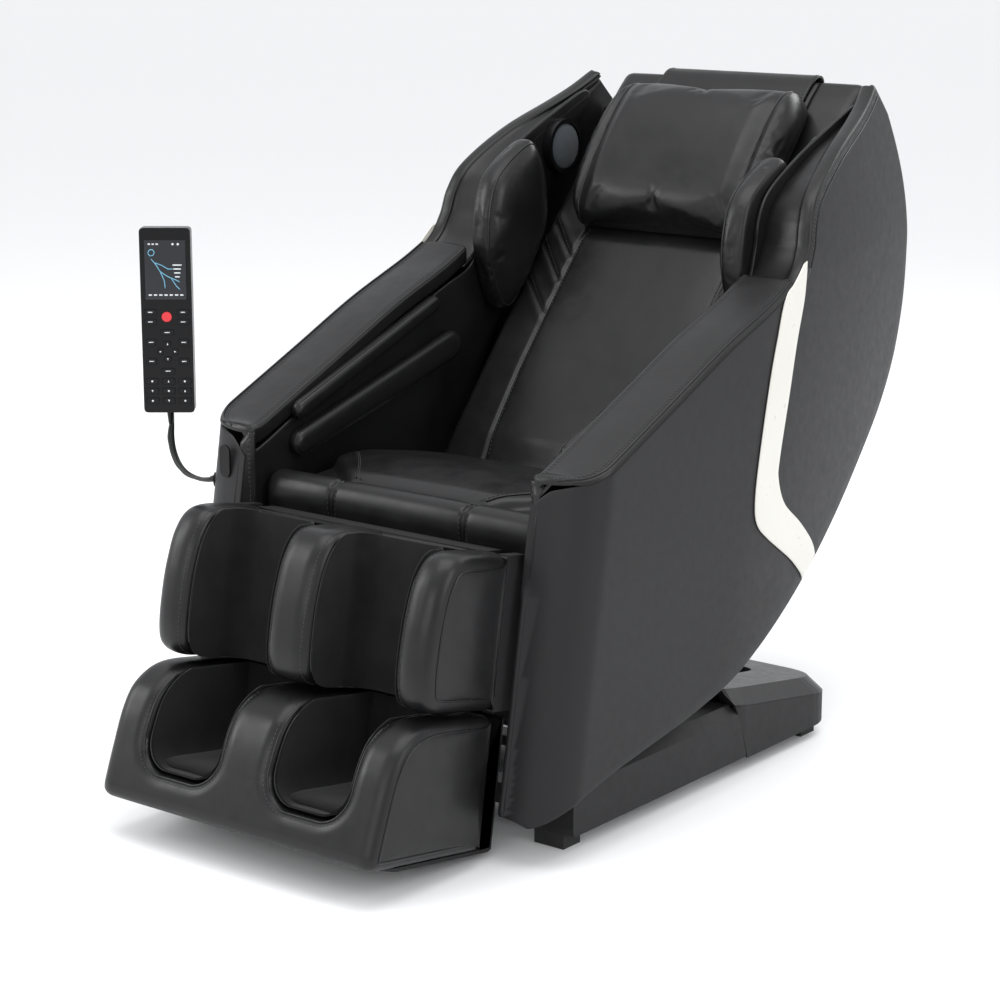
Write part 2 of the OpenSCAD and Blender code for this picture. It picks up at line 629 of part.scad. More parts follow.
module calf_bolsters() color(black_leather) leg_space() difference() {
    slab(-leg_half_w, leg_half_w) polygon(rounded(calf_outline, 16, 3));
    both_sides() translate([0, 0, -300]) linear_extrude(500)
        polygon(rounded([[well_x0, -400], [well_x1, -400], [well_x1, -62], [well_x0, -62]], 30));
    both_sides() box(216, 240, -34, 0, -24, 60);
    box(-24, 24, -34, 0, -80, 30);
    bar_x(-260, 260, 0, 0, 17);
}

// Side outline of the foot unit's padding, as (y, z) in the leg rest's frame
foot_outline = [[-16, -192], [-84, -190], [-150, -196], [-200, -222], [-224, -262], [-240, -318],
    [-248, -366], [-236, -384], [-16, -384]];
sole_z = -346;
module foot_bolsters() color(black_leather) leg_space() difference() {
    slab(-leg_half_w, leg_half_w) polygon(rounded(foot_outline, 16, 3));
    both_sides() {
        translate([0, -30, 0]) rotate([90, 0, 0]) linear_extrude(180)
            polygon(rounded([[well_x0 + 8, sole_z], [well_x1 - 6, sole_z], [well_x1 - 6, -100],
                [well_x0 + 8, -100]], 44));
        translate([0, -200, 0]) rotate([90, 0, 0]) linear_extrude(180)
            polygon(rounded([[well_x0 + 8, sole_z + 18], [well_x1 - 6, sole_z + 18], [well_x1 - 6, -100],
                [well_x0 + 8, -100]], 44));
        box(54, 186, -140, -80, -400, -352);
    }
}

module foot_tray() color(dark_plastic) leg_space() difference() {
    box(-leg_half_w + 4, leg_half_w - 4, -230, 28, -390, -384.5);
    box(-leg_half_w + 4, leg_half_w - 4, 22, 28, -392, -192);
    for (x = [-guide_x, guide_x]) translate([x, 4, -400]) cylinder(h = 20, r = 5);
}

roller_y = -110;
roller_z = -368;
module foot_frame() color(steel_grey) leg_space() {
    box(-220, 220, -14, 18, -384, -376);
    both_sides() difference() {
        for (x = [56, 178]) box(x, x + 6, -128, -92, -384, -356);
        bar_x(40, 200, roller_y, roller_z, 4 + running);
    }
}

module foot_guide_rods() color("silver") leg_space() both_sides()
    translate([guide_x, 4, -376]) cylinder(h = 350, r = 8);

module foot_roller() color("ivory") leg_space() {
    bar_x(54, 186, roller_y, roller_z, 4);
    for (x = [74, 103, 132, 161]) bar_x(x - 7, x + 7, roller_y, roller_z, 13);
}
module foot_roller_left() mirror([1, 0, 0]) foot_roller();
module foot_roller_right() foot_roller();

base_frame();
base_feet();
base_side_cover_left();
base_side_cover_right();
base_rear_ring();
base_ring_cap();
slide_rails();
mains_inlet();
power_switch();
transport_wheel_left();
transport_wheel_right();
carriage_frame();
glide_blocks();
recline_shaft();
recline_actuator_tube();
recline_actuator_rod();
seat_frame();
back_frame();
side_shell_left();
side_shell_right();
accent_strip_left();
accent_strip_right();
armrest_pad_left();
armrest_pad_right();
side_liner_left();
side_liner_right();
arm_air_pads_left();
arm_air_pads_right();
shoulder_wing_left();
shoulder_wing_right();
speaker_left();
speaker_right();
seat_pad();
seat_front_skirt();
back_pad();
neck_pillow();
pillow_strap();
back_rear_cover();
control_box();
usb_port();
handset_stand();
handset_body();
handset_power_button();
handset_menu_keys();
handset_keypad();
handset_cord();
massage_rails();
massage_carriage();
massage_rollers();
leg_actuator_tube();
leg_actuator_rod();
calf_frame();
calf_housing();
calf_bolsters();
foot_frame();
foot_guide_rods();
foot_tray();
foot_bolsters();
foot_roller_left();
foot_roller_right();
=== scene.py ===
"""Reclining massage chair: leather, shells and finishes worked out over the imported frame."""
import json
import math

import bpy
import numpy as np
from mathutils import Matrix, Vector


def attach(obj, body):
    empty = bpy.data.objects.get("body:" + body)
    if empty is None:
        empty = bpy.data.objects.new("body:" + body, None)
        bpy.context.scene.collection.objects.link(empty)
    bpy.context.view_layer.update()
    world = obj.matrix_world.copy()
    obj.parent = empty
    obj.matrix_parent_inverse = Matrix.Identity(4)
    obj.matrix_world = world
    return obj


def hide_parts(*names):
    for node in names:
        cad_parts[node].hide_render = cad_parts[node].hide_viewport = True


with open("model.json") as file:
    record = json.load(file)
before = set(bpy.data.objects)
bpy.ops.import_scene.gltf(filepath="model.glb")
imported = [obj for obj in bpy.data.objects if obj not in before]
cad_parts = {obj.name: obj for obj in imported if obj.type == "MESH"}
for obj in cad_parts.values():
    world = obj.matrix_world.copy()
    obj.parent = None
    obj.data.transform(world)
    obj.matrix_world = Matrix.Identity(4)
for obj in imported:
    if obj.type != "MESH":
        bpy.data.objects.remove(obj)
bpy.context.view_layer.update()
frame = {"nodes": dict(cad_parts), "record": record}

bl_info = {
    "name": "Massage Chair Dressing",
    "version": (1, 0, 0),
    "blender": (4, 5, 0),
    "location": "3D View > Sidebar > Chair",
    "description": "Adds the chair's leather, shells, trim and stage around the packed frame",
    "category": "Object",
}

MM = 0.001

# Side outline of the shell, upper and lower edge paired from the front tip to the top, as (y, z) in mm
SHELL_UPPER = [(-441, 74), (-425, 160), (-407, 270), (-388, 380), (-371, 478), (-362, 518), (-350, 530),
               (-312, 544), (-262, 567), (-144, 619), (-18, 676), (105, 724), (177, 761), (206, 800),
               (220, 842), (250, 882), (335, 934), (430, 974), (480, 997), (522, 1022)]
SHELL_LOWER = [(-434, 62), (-390, 92), (-310, 114), (-212, 132), (-105, 151), (0, 177), (80, 208),
               (155, 243), (225, 280), (290, 318), (375, 373), (463, 436), (545, 497), (602, 555),
               (634, 610), (652, 680), (648, 770), (632, 845), (606, 910), (570, 976)]
# Light strip on the shell, front and rear edge paired
STRIP_FRONT = [(188, 783), (160, 758), (132, 737), (112, 680), (92, 612), (66, 494), (59, 436), (68, 404),
               (102, 376), (180, 328), (219, 298), (228, 286)]
STRIP_REAR = [(196, 786), (194, 760), (189, 726), (171, 668), (152, 590), (128, 496), (127, 462),
              (150, 421), (205, 382), (245, 350), (264, 330), (272, 314)]
# Top line of the armrest, and the rear wall between the shells
ARM_LINE = [(-358, 536), (-350, 539), (-330, 543), (-262, 573), (-144, 626), (-18, 683), (105, 730), (168, 760)]
REAR_LINE = [(262, 316), (330, 356), (400, 404), (465, 455), (528, 512), (578, 570), (608, 622),
             (628, 690), (630, 768), (614, 840), (590, 900), (556, 962)]
WING = [(166, 800), (174, 730), (222, 650), (318, 768), (326, 850), (300, 918), (270, 924), (190, 874)]
# Front line of the calf and foot units, in the leg rest's own frame
CALF = [(-16, 37), (-64, 41), (-122, 37), (-151, 6), (-165, -46), (-170, -98), (-169, -142), (-161, -166),
        (-142, -178), (-110, -182), (-60, -184), (-16, -186)]
FOOT = [(-16, -191), (-88, -188), (-158, -191), (-202, -215), (-224, -252), (-239, -310), (-248, -352),
        (-250, -366), (-248, -376), (-240, -382), (-222, -384), (-160, -384), (-90, -384), (-16, -384)]
CORD = [(-366, -343, 447), (-373, -345, 446), (-381, -346, 445), (-390, -347, 445), (-399, -347, 445),
        (-408, -347, 446), (-418, -347, 449), (-427, -346, 454), (-435, -346, 460), (-442, -345, 468),
        (-448, -344, 478), (-452, -343, 489), (-454, -343, 499), (-454, -342, 508), (-452, -342, 516),
        (-450, -342, 523)]
# Inner face of the side walls, long seams of the back, and half width of the leg units
LINER_X = 263.0
SEAM_X = 152.0
LEG_HALF = 258.0
# Leg rest frame: the calf channels and the foot wells across, the wells' lip height, corner and rear wall
CHANNEL = (42.0, 196.0)
CHANNEL_FLOOR = -62.0
WELL = (50.0, 190.0)
WELL_LIP = -328.0
WELL_CORNER = 44.0
WELL_REAR = -30.0
LEG_REAR = -16.5
# Shell thickness, speaker middle (x, y, z) and the camera's azimuth and elevation
SHELL_T = 9.0
SPEAKER = (250.0, 408.0, 905.0)
CAMERA_TURN = (38.0, 13.3)


# ---------------------------------------------------------------- sizes and colours

class ChairSizes(bpy.types.PropertyGroup):
    """Sizes of the soft and trim pieces."""
    piping: bpy.props.FloatProperty(name="Piping radius", description="Radius of the leather piping",
                                    default=0.0017, unit="LENGTH", min=0.0005, max=0.004)
    stitch: bpy.props.FloatProperty(name="Stitch length", description="Length of one stitch",
                                    default=0.0042, unit="LENGTH", min=0.002, max=0.01)
    thread: bpy.props.FloatProperty(name="Thread radius", description="Radius of the sewing thread",
                                    default=0.00055, unit="LENGTH", min=0.0002, max=0.002)
    back_crown: bpy.props.FloatProperty(name="Back crown", description="Height of the back's soft crown",
                                        default=0.010, unit="LENGTH", min=0.0, max=0.03)
    seat_crown: bpy.props.FloatProperty(name="Seat crown", description="Height of the seat's soft crown",
                                        default=0.010, unit="LENGTH", min=0.0, max=0.03)
    pillow_swell: bpy.props.FloatProperty(name="Pillow swell", description="How far the pillow may swell",
                                          default=0.010, unit="LENGTH", min=0.0, max=0.02)
    wing_swell: bpy.props.FloatProperty(name="Wing swell", description="How far a shoulder wing may swell",
                                        default=0.008, unit="LENGTH", min=0.0, max=0.02)
    cord_radius: bpy.props.FloatProperty(name="Cord radius", description="Radius of the handset's cord",
                                         default=0.0025, unit="LENGTH", min=0.001, max=0.005)


def colour_prop(name, description, value):
    return bpy.props.FloatVectorProperty(name=name, description=description, default=value, size=3,
                                         min=0.0, max=1.0, subtype="COLOR")


class ChairColours(bpy.types.PropertyGroup):
    """Base colours of the finishes."""
    leather: colour_prop("Leather", "Black upholstery leather", (0.0050, 0.0050, 0.0054))
    shell: colour_prop("Shell", "Matt shell moulding", (0.0120, 0.0120, 0.0128))
    base_plastic: colour_prop("Base plastic", "Covers of the floor base", (0.0115, 0.0115, 0.0122))
    cap_plastic: colour_prop("Ring cap", "Chamfered cap of the rear ring", (0.0080, 0.0080, 0.0086))
    trim: colour_prop("Light trim", "Warm grey strip on the shells", (0.600, 0.590, 0.545))
    lining: colour_prop("Lining", "Soft lining of the leg wells", (0.0060, 0.0060, 0.0063))
    mesh: colour_prop("Speaker cloth", "Woven cloth over the speakers", (0.055, 0.068, 0.082))
    floor: colour_prop("Floor", "Floor and backdrop", (0.93, 0.93, 0.935))


# ---------------------------------------------------------------- curves and surfaces

def curve(points, t):
    """Catmull-Rom curve through the points at t from 0 to 1: a cubic between each pair of points, whose slope
    at a point is half the step between its two neighbours."""
    p = np.asarray(points, float)
    n = len(p) - 1
    t = np.asarray(t, float)
    s = np.clip(t.ravel(), 0, 1) * n
    i = np.minimum(s.astype(int), n - 1)
    u = (s - i)[:, None]
    a, b, c, d = p[np.maximum(i - 1, 0)], p[i], p[i + 1], p[np.minimum(i + 2, n)]
    q = 0.5 * (2 * b + (c - a) * u + (2 * a - 5 * b + 4 * c - d) * u ** 2 + (3 * b - a - 3 * c + d) * u ** 3)
    return q.reshape(t.shape + (p.shape[1],))


def even(points, count, closed=False):
    """The same line resampled at equal steps of its own length."""
    p = np.asarray(points, float)
    if closed:
        p = np.vstack([p, p[:1]])
    run = np.concatenate([[0], np.cumsum(np.linalg.norm(np.diff(p, axis=0), axis=1))])
    at = np.linspace(0, run[-1], count + closed)[:count]
    return np.stack([np.interp(at, run, p[:, k]) for k in range(p.shape[1])], -1)


def loop(points, count):
    """Closed smooth curve through the points, evenly spaced."""
    p = np.asarray(points, float)
    n = len(p)
    wide = np.vstack([p[-2:], p, p[:3]])
    dense = curve(wide, np.linspace(2 / (n + 4), (n + 2) / (n + 4), 40 * n))
    return even(dense[:-1], count, True)


def unit(v):
    return v / np.maximum(np.linalg.norm(v, axis=-1, keepdims=True), 1e-9)


def smooth(t):
    """0 below 0, 1 above 1, and 3t^2 - 2t^3 between."""
    t = np.clip(t, 0, 1)
    return t * t * (3 - 2 * t)


def shell_x(y, z):
    """Half width of the shell in mm: an elliptic front corner of 60 mm, then flat, drawn in by a power of the
    distance behind the front and of the height above 770."""
    y, z = np.asarray(y, float), np.asarray(z, float)
    d = np.maximum(0, y + 440 - (z - 62) * 0.167)
    u = np.maximum(0, 1 - d / 60)
    return (280 + 85 * np.sqrt(1 - u ** 2) - 80 * (np.maximum(0, d - 400) / 540) ** 1.7
            - 0.0092 * np.maximum(0, z - 770) ** 1.5)


def leg_point(x, ly, lz):
    """Leg rest frame in mm to the row frame in mm: turned 9 degrees about the leg pivot."""
    c, s = math.cos(math.radians(9)), math.sin(math.radians(9))
    x, ly, lz = np.broadcast_arrays(x, ly, lz)
    return np.stack([x, -392 + c * ly + s * lz, 398 - s * ly + c * lz], -1)


def back_point(x, by, bz):
    """Back frame in mm to the row frame in mm: by is depth behind the face, bz runs up the back."""
    c, s = math.cos(math.radians(40.3)), math.sin(math.radians(40.3))
    x, by, bz = np.broadcast_arrays(x, by, bz)
    return np.stack([x, 50 + c * by + s * bz, 430 - s * by + c * bz], -1)


def handset_point(x, y, z):
    """Handset frame in mm to the row frame in mm: turned 38 degrees about the upright."""
    c, s = math.cos(math.radians(38)), math.sin(math.radians(38))
    x, y, z = np.broadcast_arrays(x, y, z)
    return np.stack([-450 + c * x - s * y, -342 + s * x + c * y, 685 + z], -1)


def new_mesh(name, points, faces, scale=MM):
    """Object at the origin from points in mm; faces are turned so that the enclosed volume is positive."""
    points = np.asarray(points, float).reshape(-1, 3) * scale
    tris = [np.asarray(f, int) for f in faces if len(f)]
    volume = 0.0
    for f in tris:
        a = points[f[:, 0]]
        for k in range(1, f.shape[1] - 1):
            volume += np.einsum("ij,ij->i", a, np.cross(points[f[:, k]], points[f[:, k + 1]])).sum()
    lists = []
    for f in tris:
        lists += (f[:, ::-1] if volume < 0 else f).tolist()
    mesh = bpy.data.meshes.new(name)
    mesh.from_pydata(points.tolist(), [], lists)
    mesh.validate()
    mesh.polygons.foreach_set("use_smooth", np.ones(len(mesh.polygons), bool))
    mesh.update()
    obj = bpy.data.objects.new(name, mesh)
    bpy.context.scene.collection.objects.link(obj)
    return obj


def skin(name, rings, cap="fan", closed_path=False):
    """Closed surface through rings, an (n, m, 3) array. Each ring is closed; the ends close to their middles
    (fan), or by strips across a flat ring (strip)."""
    rings = np.asarray(rings, float)
    n, m = rings.shape[:2]
    i, j = np.meshgrid(np.arange(n if closed_path else n - 1), np.arange(m), indexing="ij")
    a, b = i * m + j, i * m + (j + 1) % m
    c, d = ((i + 1) % n) * m + (j + 1) % m, ((i + 1) % n) * m + j
    faces = [np.stack([a, b, c, d], -1).reshape(-1, 4)]
    points = rings.reshape(-1, 3)
    if not closed_path:
        k = np.arange(m)
        if cap == "fan":
            points = np.vstack([points, rings[0].mean(0), rings[-1].mean(0)])
            last = (n - 1) * m
            faces.append(np.stack([(k + 1) % m, k, np.full(m, n * m)], -1))
            faces.append(np.stack([last + k, last + (k + 1) % m, np.full(m, n * m + 1)], -1))
        else:
            h = np.arange(m // 2 - 1)
            for base, flip in ((0, False), ((n - 1) * m, True)):
                q = np.stack([base + h, base + m - 1 - h, base + m - 2 - h, base + h + 1], -1)
                faces.append(q[:, ::-1] if flip else q)
    return new_mesh(name, points, faces)


def normals(grid):
    """Unit normals of an (n, m, 3) grid from its differences along both ways."""
    return unit(np.cross(np.gradient(grid, axis=0), np.gradient(grid, axis=1)))


def sheet_rings(outer, inner, steps=5):
    """Rings round a sheet between two grids, with half-round edges: along the outer grid, round one edge, back
    along the inner grid, round the other."""
    mid = lambda k: (outer[:, k] + inner[:, k]) / 2
    out = []
    for k, step in ((-1, -2), (0, 1)):
        half = (outer[:, k] - inner[:, k]) / 2
        away = unit(outer[:, k] - outer[:, step]) * np.linalg.norm(half, axis=-1, keepdims=True)
        angles = np.linspace(0, np.pi, steps + 2)[1:-1]
        arc = (mid(k)[:, None] + np.cos(angles)[None, :, None] * half[:, None]
               + np.sin(angles)[None, :, None] * away[:, None])
        out.append(arc if k == -1 else arc[:, ::-1])
    return np.concatenate([outer, out[0], inner[:, ::-1], out[1]], axis=1)


def thick_sheet(name, outer, inner):
    """Closed sheet between two grids, edges half round."""
    rings = sheet_rings(np.asarray(outer, float), np.asarray(inner, float))
    if rings.shape[1] % 2:
        rings = np.concatenate([rings, rings[:, -1:]], axis=1)
    return skin(name, rings, cap="strip")


def frames(path, closed=False):
    """Unit tangent, side and up vectors along a path, turned as little as the path allows. On a closed path,
    which lies along a side wall, the side vector is the one nearest across the chair."""
    if closed:
        tangent = unit(np.roll(path, -1, 0) - np.roll(path, 1, 0))
        side = unit(np.array([1.0, 0, 0]) - tangent * tangent[:, :1])
        return tangent, side, np.cross(tangent, side)
    tangent = unit(np.gradient(path, axis=0))
    side = np.zeros_like(tangent)
    ref = np.array([0.31, 0.17, 0.93]) if abs(tangent[0, 2]) < 0.9 else np.array([1.0, 0.1, 0.0])
    for i, t in enumerate(tangent):
        ref = ref - t * (ref @ t)
        ref = ref / max(np.linalg.norm(ref), 1e-9)
        side[i] = ref
    return tangent, side, np.cross(tangent, side)


def bead_rings(path, radius, closed=False, sides=8):
    """Rings of a round bead along a path in mm, drawn to a point at open ends."""
    path = np.asarray(path, float)
    _, side, up = frames(path, closed)
    angle = np.arange(sides) * 2 * np.pi / sides
    size = np.full(len(path), float(radius))
    if not closed:
        size[[0, -1]] *= 0.3
    return path[:, None] + size[:, None, None] * (np.cos(angle)[None, :, None] * side[:, None]
                                                  + np.sin(angle)[None, :, None] * up[:, None])


def bead(name, path, radius, closed=False, sides=8):
    """Round bead, such as piping or a cord, along a path in mm."""
    return skin(name, bead_rings(path, radius, closed, sides), closed_path=closed)


def join(name, objs):
    """One object from several, each already in place."""
    verts, faces, start = [], [], 0
    for o in objs:
        me = o.data
        co = np.empty(len(me.vertices) * 3)
        me.vertices.foreach_get("co", co)
        verts.append(co.reshape(-1, 3))
        faces += [[v + start for v in p.vertices] for p in me.polygons]
        start += len(me.vertices)
        bpy.data.objects.remove(o)
    mesh = bpy.data.meshes.new(name)
    mesh.from_pydata(np.vstack(verts).tolist(), [], faces)
    mesh.polygons.foreach_set("use_smooth", np.ones(len(mesh.polygons), bool))
    mesh.update()
    obj = bpy.data.objects.new(name, mesh)
    bpy.context.scene.collection.objects.link(obj)
    return obj


def stitches(name, paths, length, radius, gap=0.55):
    """Rows of sewing thread: short beads of six sides laid along each path, gap of a length apart."""
    k = 6
    angle = np.arange(k) * 2 * np.pi / k
    along = np.array([-0.5, -0.38, 0.38, 0.5])
    size = np.array([0.35, 1.0, 1.0, 0.35])
    points, quads, start = [], [], 0
    for path in paths:
        path = np.asarray(path, float)
        total = np.linalg.norm(np.diff(path, axis=0), axis=1).sum()
        count = max(2, int(total / (length * (1 + gap))))
        p = even(path, count)
        t, s, u = frames(p)
        circle = (np.cos(angle)[None, None, :, None] * s[:, None, None]
                  + np.sin(angle)[None, None, :, None] * u[:, None, None])
        ring = (p[:, None, None] + t[:, None, None] * (along * length)[None, :, None, None]
                + radius * size[None, :, None, None] * circle)
        points.append(ring.reshape(-1, 3))
        i, r, j = np.meshgrid(np.arange(count), np.arange(3), np.arange(k), indexing="ij")
        a = start + i * 4 * k + r * k + j
        b = start + i * 4 * k + r * k + (j + 1) % k
        quads.append(np.stack([a, b, b + k, a + k], -1).reshape(-1, 4))
        for r0, order in ((0, -1), (3, 1)):
            base = start + np.arange(count)[:, None] * 4 * k + r0 * k
            for tri in ((0, 1, 2, 3), (0, 3, 4, 5)):
                quads.append((base + np.array(tri)[None, ::order]))
        start += count * 4 * k
    return new_mesh(name, np.vstack(points), quads)


def mirrored(obj, name):
    """The piece's mirror image across the chair, its faces turned back outwards."""
    mesh = obj.data.copy()
    mesh.name = name
    co = np.empty(len(mesh.vertices) * 3)
    mesh.vertices.foreach_get("co", co)
    co[0::3] *= -1
    mesh.vertices.foreach_set("co", co)
    mesh.flip_normals()
    mesh.update()
    twin = bpy.data.objects.new(name, mesh)
    bpy.context.scene.collection.objects.link(twin)
    for m in obj.modifiers:
        copy = twin.modifiers.new(m.name, m.type)
        for key in ("levels", "render_levels", "width", "segments", "limit_method", "angle_limit"):
            if hasattr(m, key):
                setattr(copy, key, getattr(m, key))
    return twin


def coords(obj):
    co = np.empty(len(obj.data.vertices) * 3)
    obj.data.vertices.foreach_get("co", co)
    return co.reshape(-1, 3)


def set_coords(obj, co):
    obj.data.vertices.foreach_set("co", np.ascontiguousarray(co).ravel())
    obj.data.update()


def settle(obj):
    """The modifiers' result becomes the mesh."""
    graph = bpy.context.evaluated_depsgraph_get()
    mesh = bpy.data.meshes.new_from_object(obj.evaluated_get(graph))
    obj.modifiers.clear()
    obj.data = mesh
    mesh.polygons.foreach_set("use_smooth", np.ones(len(mesh.polygons), bool))
    mesh.update()


def remesh(obj, voxel, rounds=3):
    """Even quads of one size all over, then each point drawn towards the middle of its neighbours."""
    mod = obj.modifiers.new("Even", "REMESH")
    mod.mode = "VOXEL"
    mod.voxel_size = voxel
    mod.use_smooth_shade = True
    soft = obj.modifiers.new("Soft", "SMOOTH")
    soft.factor = 0.5
    soft.iterations = rounds
    settle(obj)


def inflate(obj, pressure=4.0, reach=0.008, held=None, frames_run=20):
    """Blows the piece up as sealed cloth. A point moves at most reach; held gives a factor from 0 to 1 for each
    point at rest, 0 on a seam."""
    rest = coords(obj)
    limit = np.full(len(rest), reach) if held is None else reach * held(rest)
    mod = obj.modifiers.new("Fill", "CLOTH")
    cloth = mod.settings
    cloth.quality = 4
    cloth.mass = 0.3
    cloth.tension_stiffness = cloth.compression_stiffness = 8
    cloth.shear_stiffness = 4
    cloth.bending_stiffness = 0.4
    cloth.use_pressure = True
    cloth.uniform_pressure_force = pressure
    cloth.effector_weights.gravity = 0
    mod.point_cache.frame_start, mod.point_cache.frame_end = 1, frames_run
    scene = bpy.context.scene
    for f in range(1, frames_run + 1):
        scene.frame_set(f)
    graph = bpy.context.evaluated_depsgraph_get()
    ev = obj.evaluated_get(graph)
    got = np.empty(len(ev.data.vertices) * 3)
    ev.data.vertices.foreach_get("co", got)
    move = got.reshape(-1, 3) - rest
    size = np.linalg.norm(move, axis=1)
    factor = np.minimum(1, limit / np.maximum(size, 1e-9))
    obj.modifiers.clear()
    set_coords(obj, rest + move * factor[:, None])
    scene.frame_set(1)


def subdivide(obj, levels=1):
    mod = obj.modifiers.new("Round", "SUBSURF")
    mod.levels = mod.render_levels = levels


def snapped(obj, path, lift=0.4):
    """A path in mm laid onto the piece: each point drops onto its nearest vertex's plane, lifted by lift."""
    co = coords(obj) / MM
    normal = np.empty(co.size)
    obj.data.vertices.foreach_get("normal", normal)
    p = np.asarray(path, float)
    near = np.argmin((co ** 2).sum(1)[None] - 2 * p @ co.T, axis=1)
    v, n = co[near], normal.reshape(-1, 3)[near]
    out = p - n * ((p - v) * n).sum(-1, keepdims=True) + n * lift
    for _ in range(3):
        out[1:-1] = (out[:-2] + 2 * out[1:-1] + out[2:]) / 4
    return out


# ---------------------------------------------------------------- finishes

class Finish:
    """A node material under construction: one Principled shader fed by patterns on Object coordinates."""

    def __init__(self, name, colour, roughness, **sockets):
        self.mat = bpy.data.materials.new(name)
        self.mat.use_nodes = True
        self.tree = self.mat.node_tree
        self.shader = self.tree.nodes["Principled BSDF"]
        self.shader.inputs["Base Color"].default_value = (*colour, 1)
        self.shader.inputs["Roughness"].default_value = roughness
        for key, value in sockets.items():
            self.shader.inputs[key.replace("_", " ")].default_value = value
        self.mat.diffuse_color = (*colour, 1)
        self.place = self.add("ShaderNodeTexCoord").outputs["Object"]
        self.normal = None

    def add(self, kind, **values):
        node = self.tree.nodes.new(kind)
        for key, value in values.items():
            if key in node.inputs:
                node.inputs[key].default_value = value
            else:
                setattr(node, key, value)
        return node

    def link(self, out, into):
        self.tree.links.new(out, into)

    def noise(self, scale, detail=3.0, rough=0.5, place=None):
        node = self.add("ShaderNodeTexNoise", Scale=scale, Detail=detail, Roughness=rough)
        self.link(place or self.place, node.inputs["Vector"])
        return node.outputs["Fac"]

    def cells(self, scale, feature="F1", place=None):
        node = self.add("ShaderNodeTexVoronoi", feature=feature)
        node.inputs["Scale"].default_value = scale
        self.link(place or self.place, node.inputs["Vector"])
        return node.outputs["Distance"]

    def stretched(self, x, y, z):
        node = self.add("ShaderNodeMapping")
        node.inputs["Scale"].default_value = (x, y, z)
        self.link(self.place, node.inputs["Vector"])
        return node.outputs["Vector"]

    def ramp(self, value, low, high, low_at=0.3, high_at=0.7):
        node = self.add("ShaderNodeMapRange")
        self.link(value, node.inputs["Value"])
        for key, v in (("From Min", low_at), ("From Max", high_at), ("To Min", low), ("To Max", high)):
            node.inputs[key].default_value = v
        return node.outputs["Result"]

    def tint(self, value, first, second, low_at=0.3, high_at=0.7):
        node = self.add("ShaderNodeValToRGB")
        ends = node.color_ramp.elements
        ends[0].position, ends[1].position = low_at, high_at
        ends[0].color, ends[1].color = (*first, 1), (*second, 1)
        self.link(value, node.inputs["Fac"])
        self.link(node.outputs["Color"], self.shader.inputs["Base Color"])

    def bump(self, height, strength, distance):
        node = self.add("ShaderNodeBump", Strength=strength, Distance=distance)
        self.link(height, node.inputs["Height"])
        if self.normal is not None:
            self.link(self.normal, node.inputs["Normal"])
        self.normal = node.outputs["Normal"]
        self.link(self.normal, self.shader.inputs["Normal"])

    def rough(self, value):
        self.link(value, self.shader.inputs["Roughness"])


def times(colour, k):
    return tuple(min(1.0, c * k) for c in colour)


def leather_finish(name, colour, roughness=0.36, crease=0.30, grain=0.16):
    """Split leather: pebbles 1.3 mm across, wandering creases, and wear that polishes it here and there."""
    f = Finish(name, colour, roughness, Specular_IOR_Level=0.30, Coat_Weight=0.04, Coat_Roughness=0.22)
    wide = f.noise(7.0, 2.0, 0.55)
    f.tint(wide, times(colour, 0.82), times(colour, 1.25))
    f.rough(f.ramp(f.noise(26.0, 3.0, 0.6), roughness - 0.06, roughness + 0.08))
    f.bump(f.noise(14.0, 2.0, 0.5), crease, 0.0035)
    f.bump(f.noise(95.0, 2.0, 0.6), crease * 0.55, 0.0006)
    f.bump(f.cells(760.0), grain, 0.00022)
    return f.mat


def moulded_finish(name, colour, roughness=0.5, grain=0.10, spark=900.0, variation=0.10, **sockets):
    """Moulded plastic: fine spark texture, faint flow variation and slightly uneven gloss."""
    f = Finish(name, colour, roughness, **sockets)
    f.tint(f.noise(5.0, 3.0), times(colour, 1 - variation), times(colour, 1 + variation))
    f.rough(f.ramp(f.noise(60.0, 4.0, 0.6), roughness - 0.035, roughness + 0.045))
    f.bump(f.noise(spark, 2.0, 0.7), grain, 0.00012)
    f.bump(f.noise(2.2, 2.0), 0.05, 0.004)
    return f.mat


def metal_finish(name, colour, roughness, brushed):
    """Metal: brushed along the chair where it is bright, orange-peel paint where it is coated."""
    f = Finish(name, colour, roughness, Metallic=1.0 if brushed else 0.0)
    if brushed:
        line = f.noise(1.0, 3.0, 0.6, f.stretched(60, 60, 1400))
        f.rough(f.ramp(line, roughness - 0.05, roughness + 0.12))
        f.bump(line, 0.06, 0.0001)
        f.tint(f.noise(12.0), times(colour, 0.86), times(colour, 1.05))
    else:
        f.tint(f.noise(18.0), times(colour, 0.85), times(colour, 1.12))
        f.rough(f.ramp(f.noise(90.0), roughness - 0.06, roughness + 0.08))
        f.bump(f.cells(420.0, "SMOOTH_F1"), 0.10, 0.0003)
    return f.mat


def suede_finish(name, colour):
    """Napped lining: short pile as fine noise, brushed patches a little lighter, sheen at grazing angles."""
    f = Finish(name, colour, 0.95, Specular_IOR_Level=0.15, Sheen_Weight=0.10, Sheen_Roughness=0.5)
    f.tint(f.noise(20.0, 5.0, 0.65), times(colour, 0.75), times(colour, 1.5))
    f.bump(f.noise(900.0, 2.0, 0.8), 0.35, 0.0004)
    f.bump(f.noise(18.0, 3.0), 0.25, 0.0025)
    return f.mat


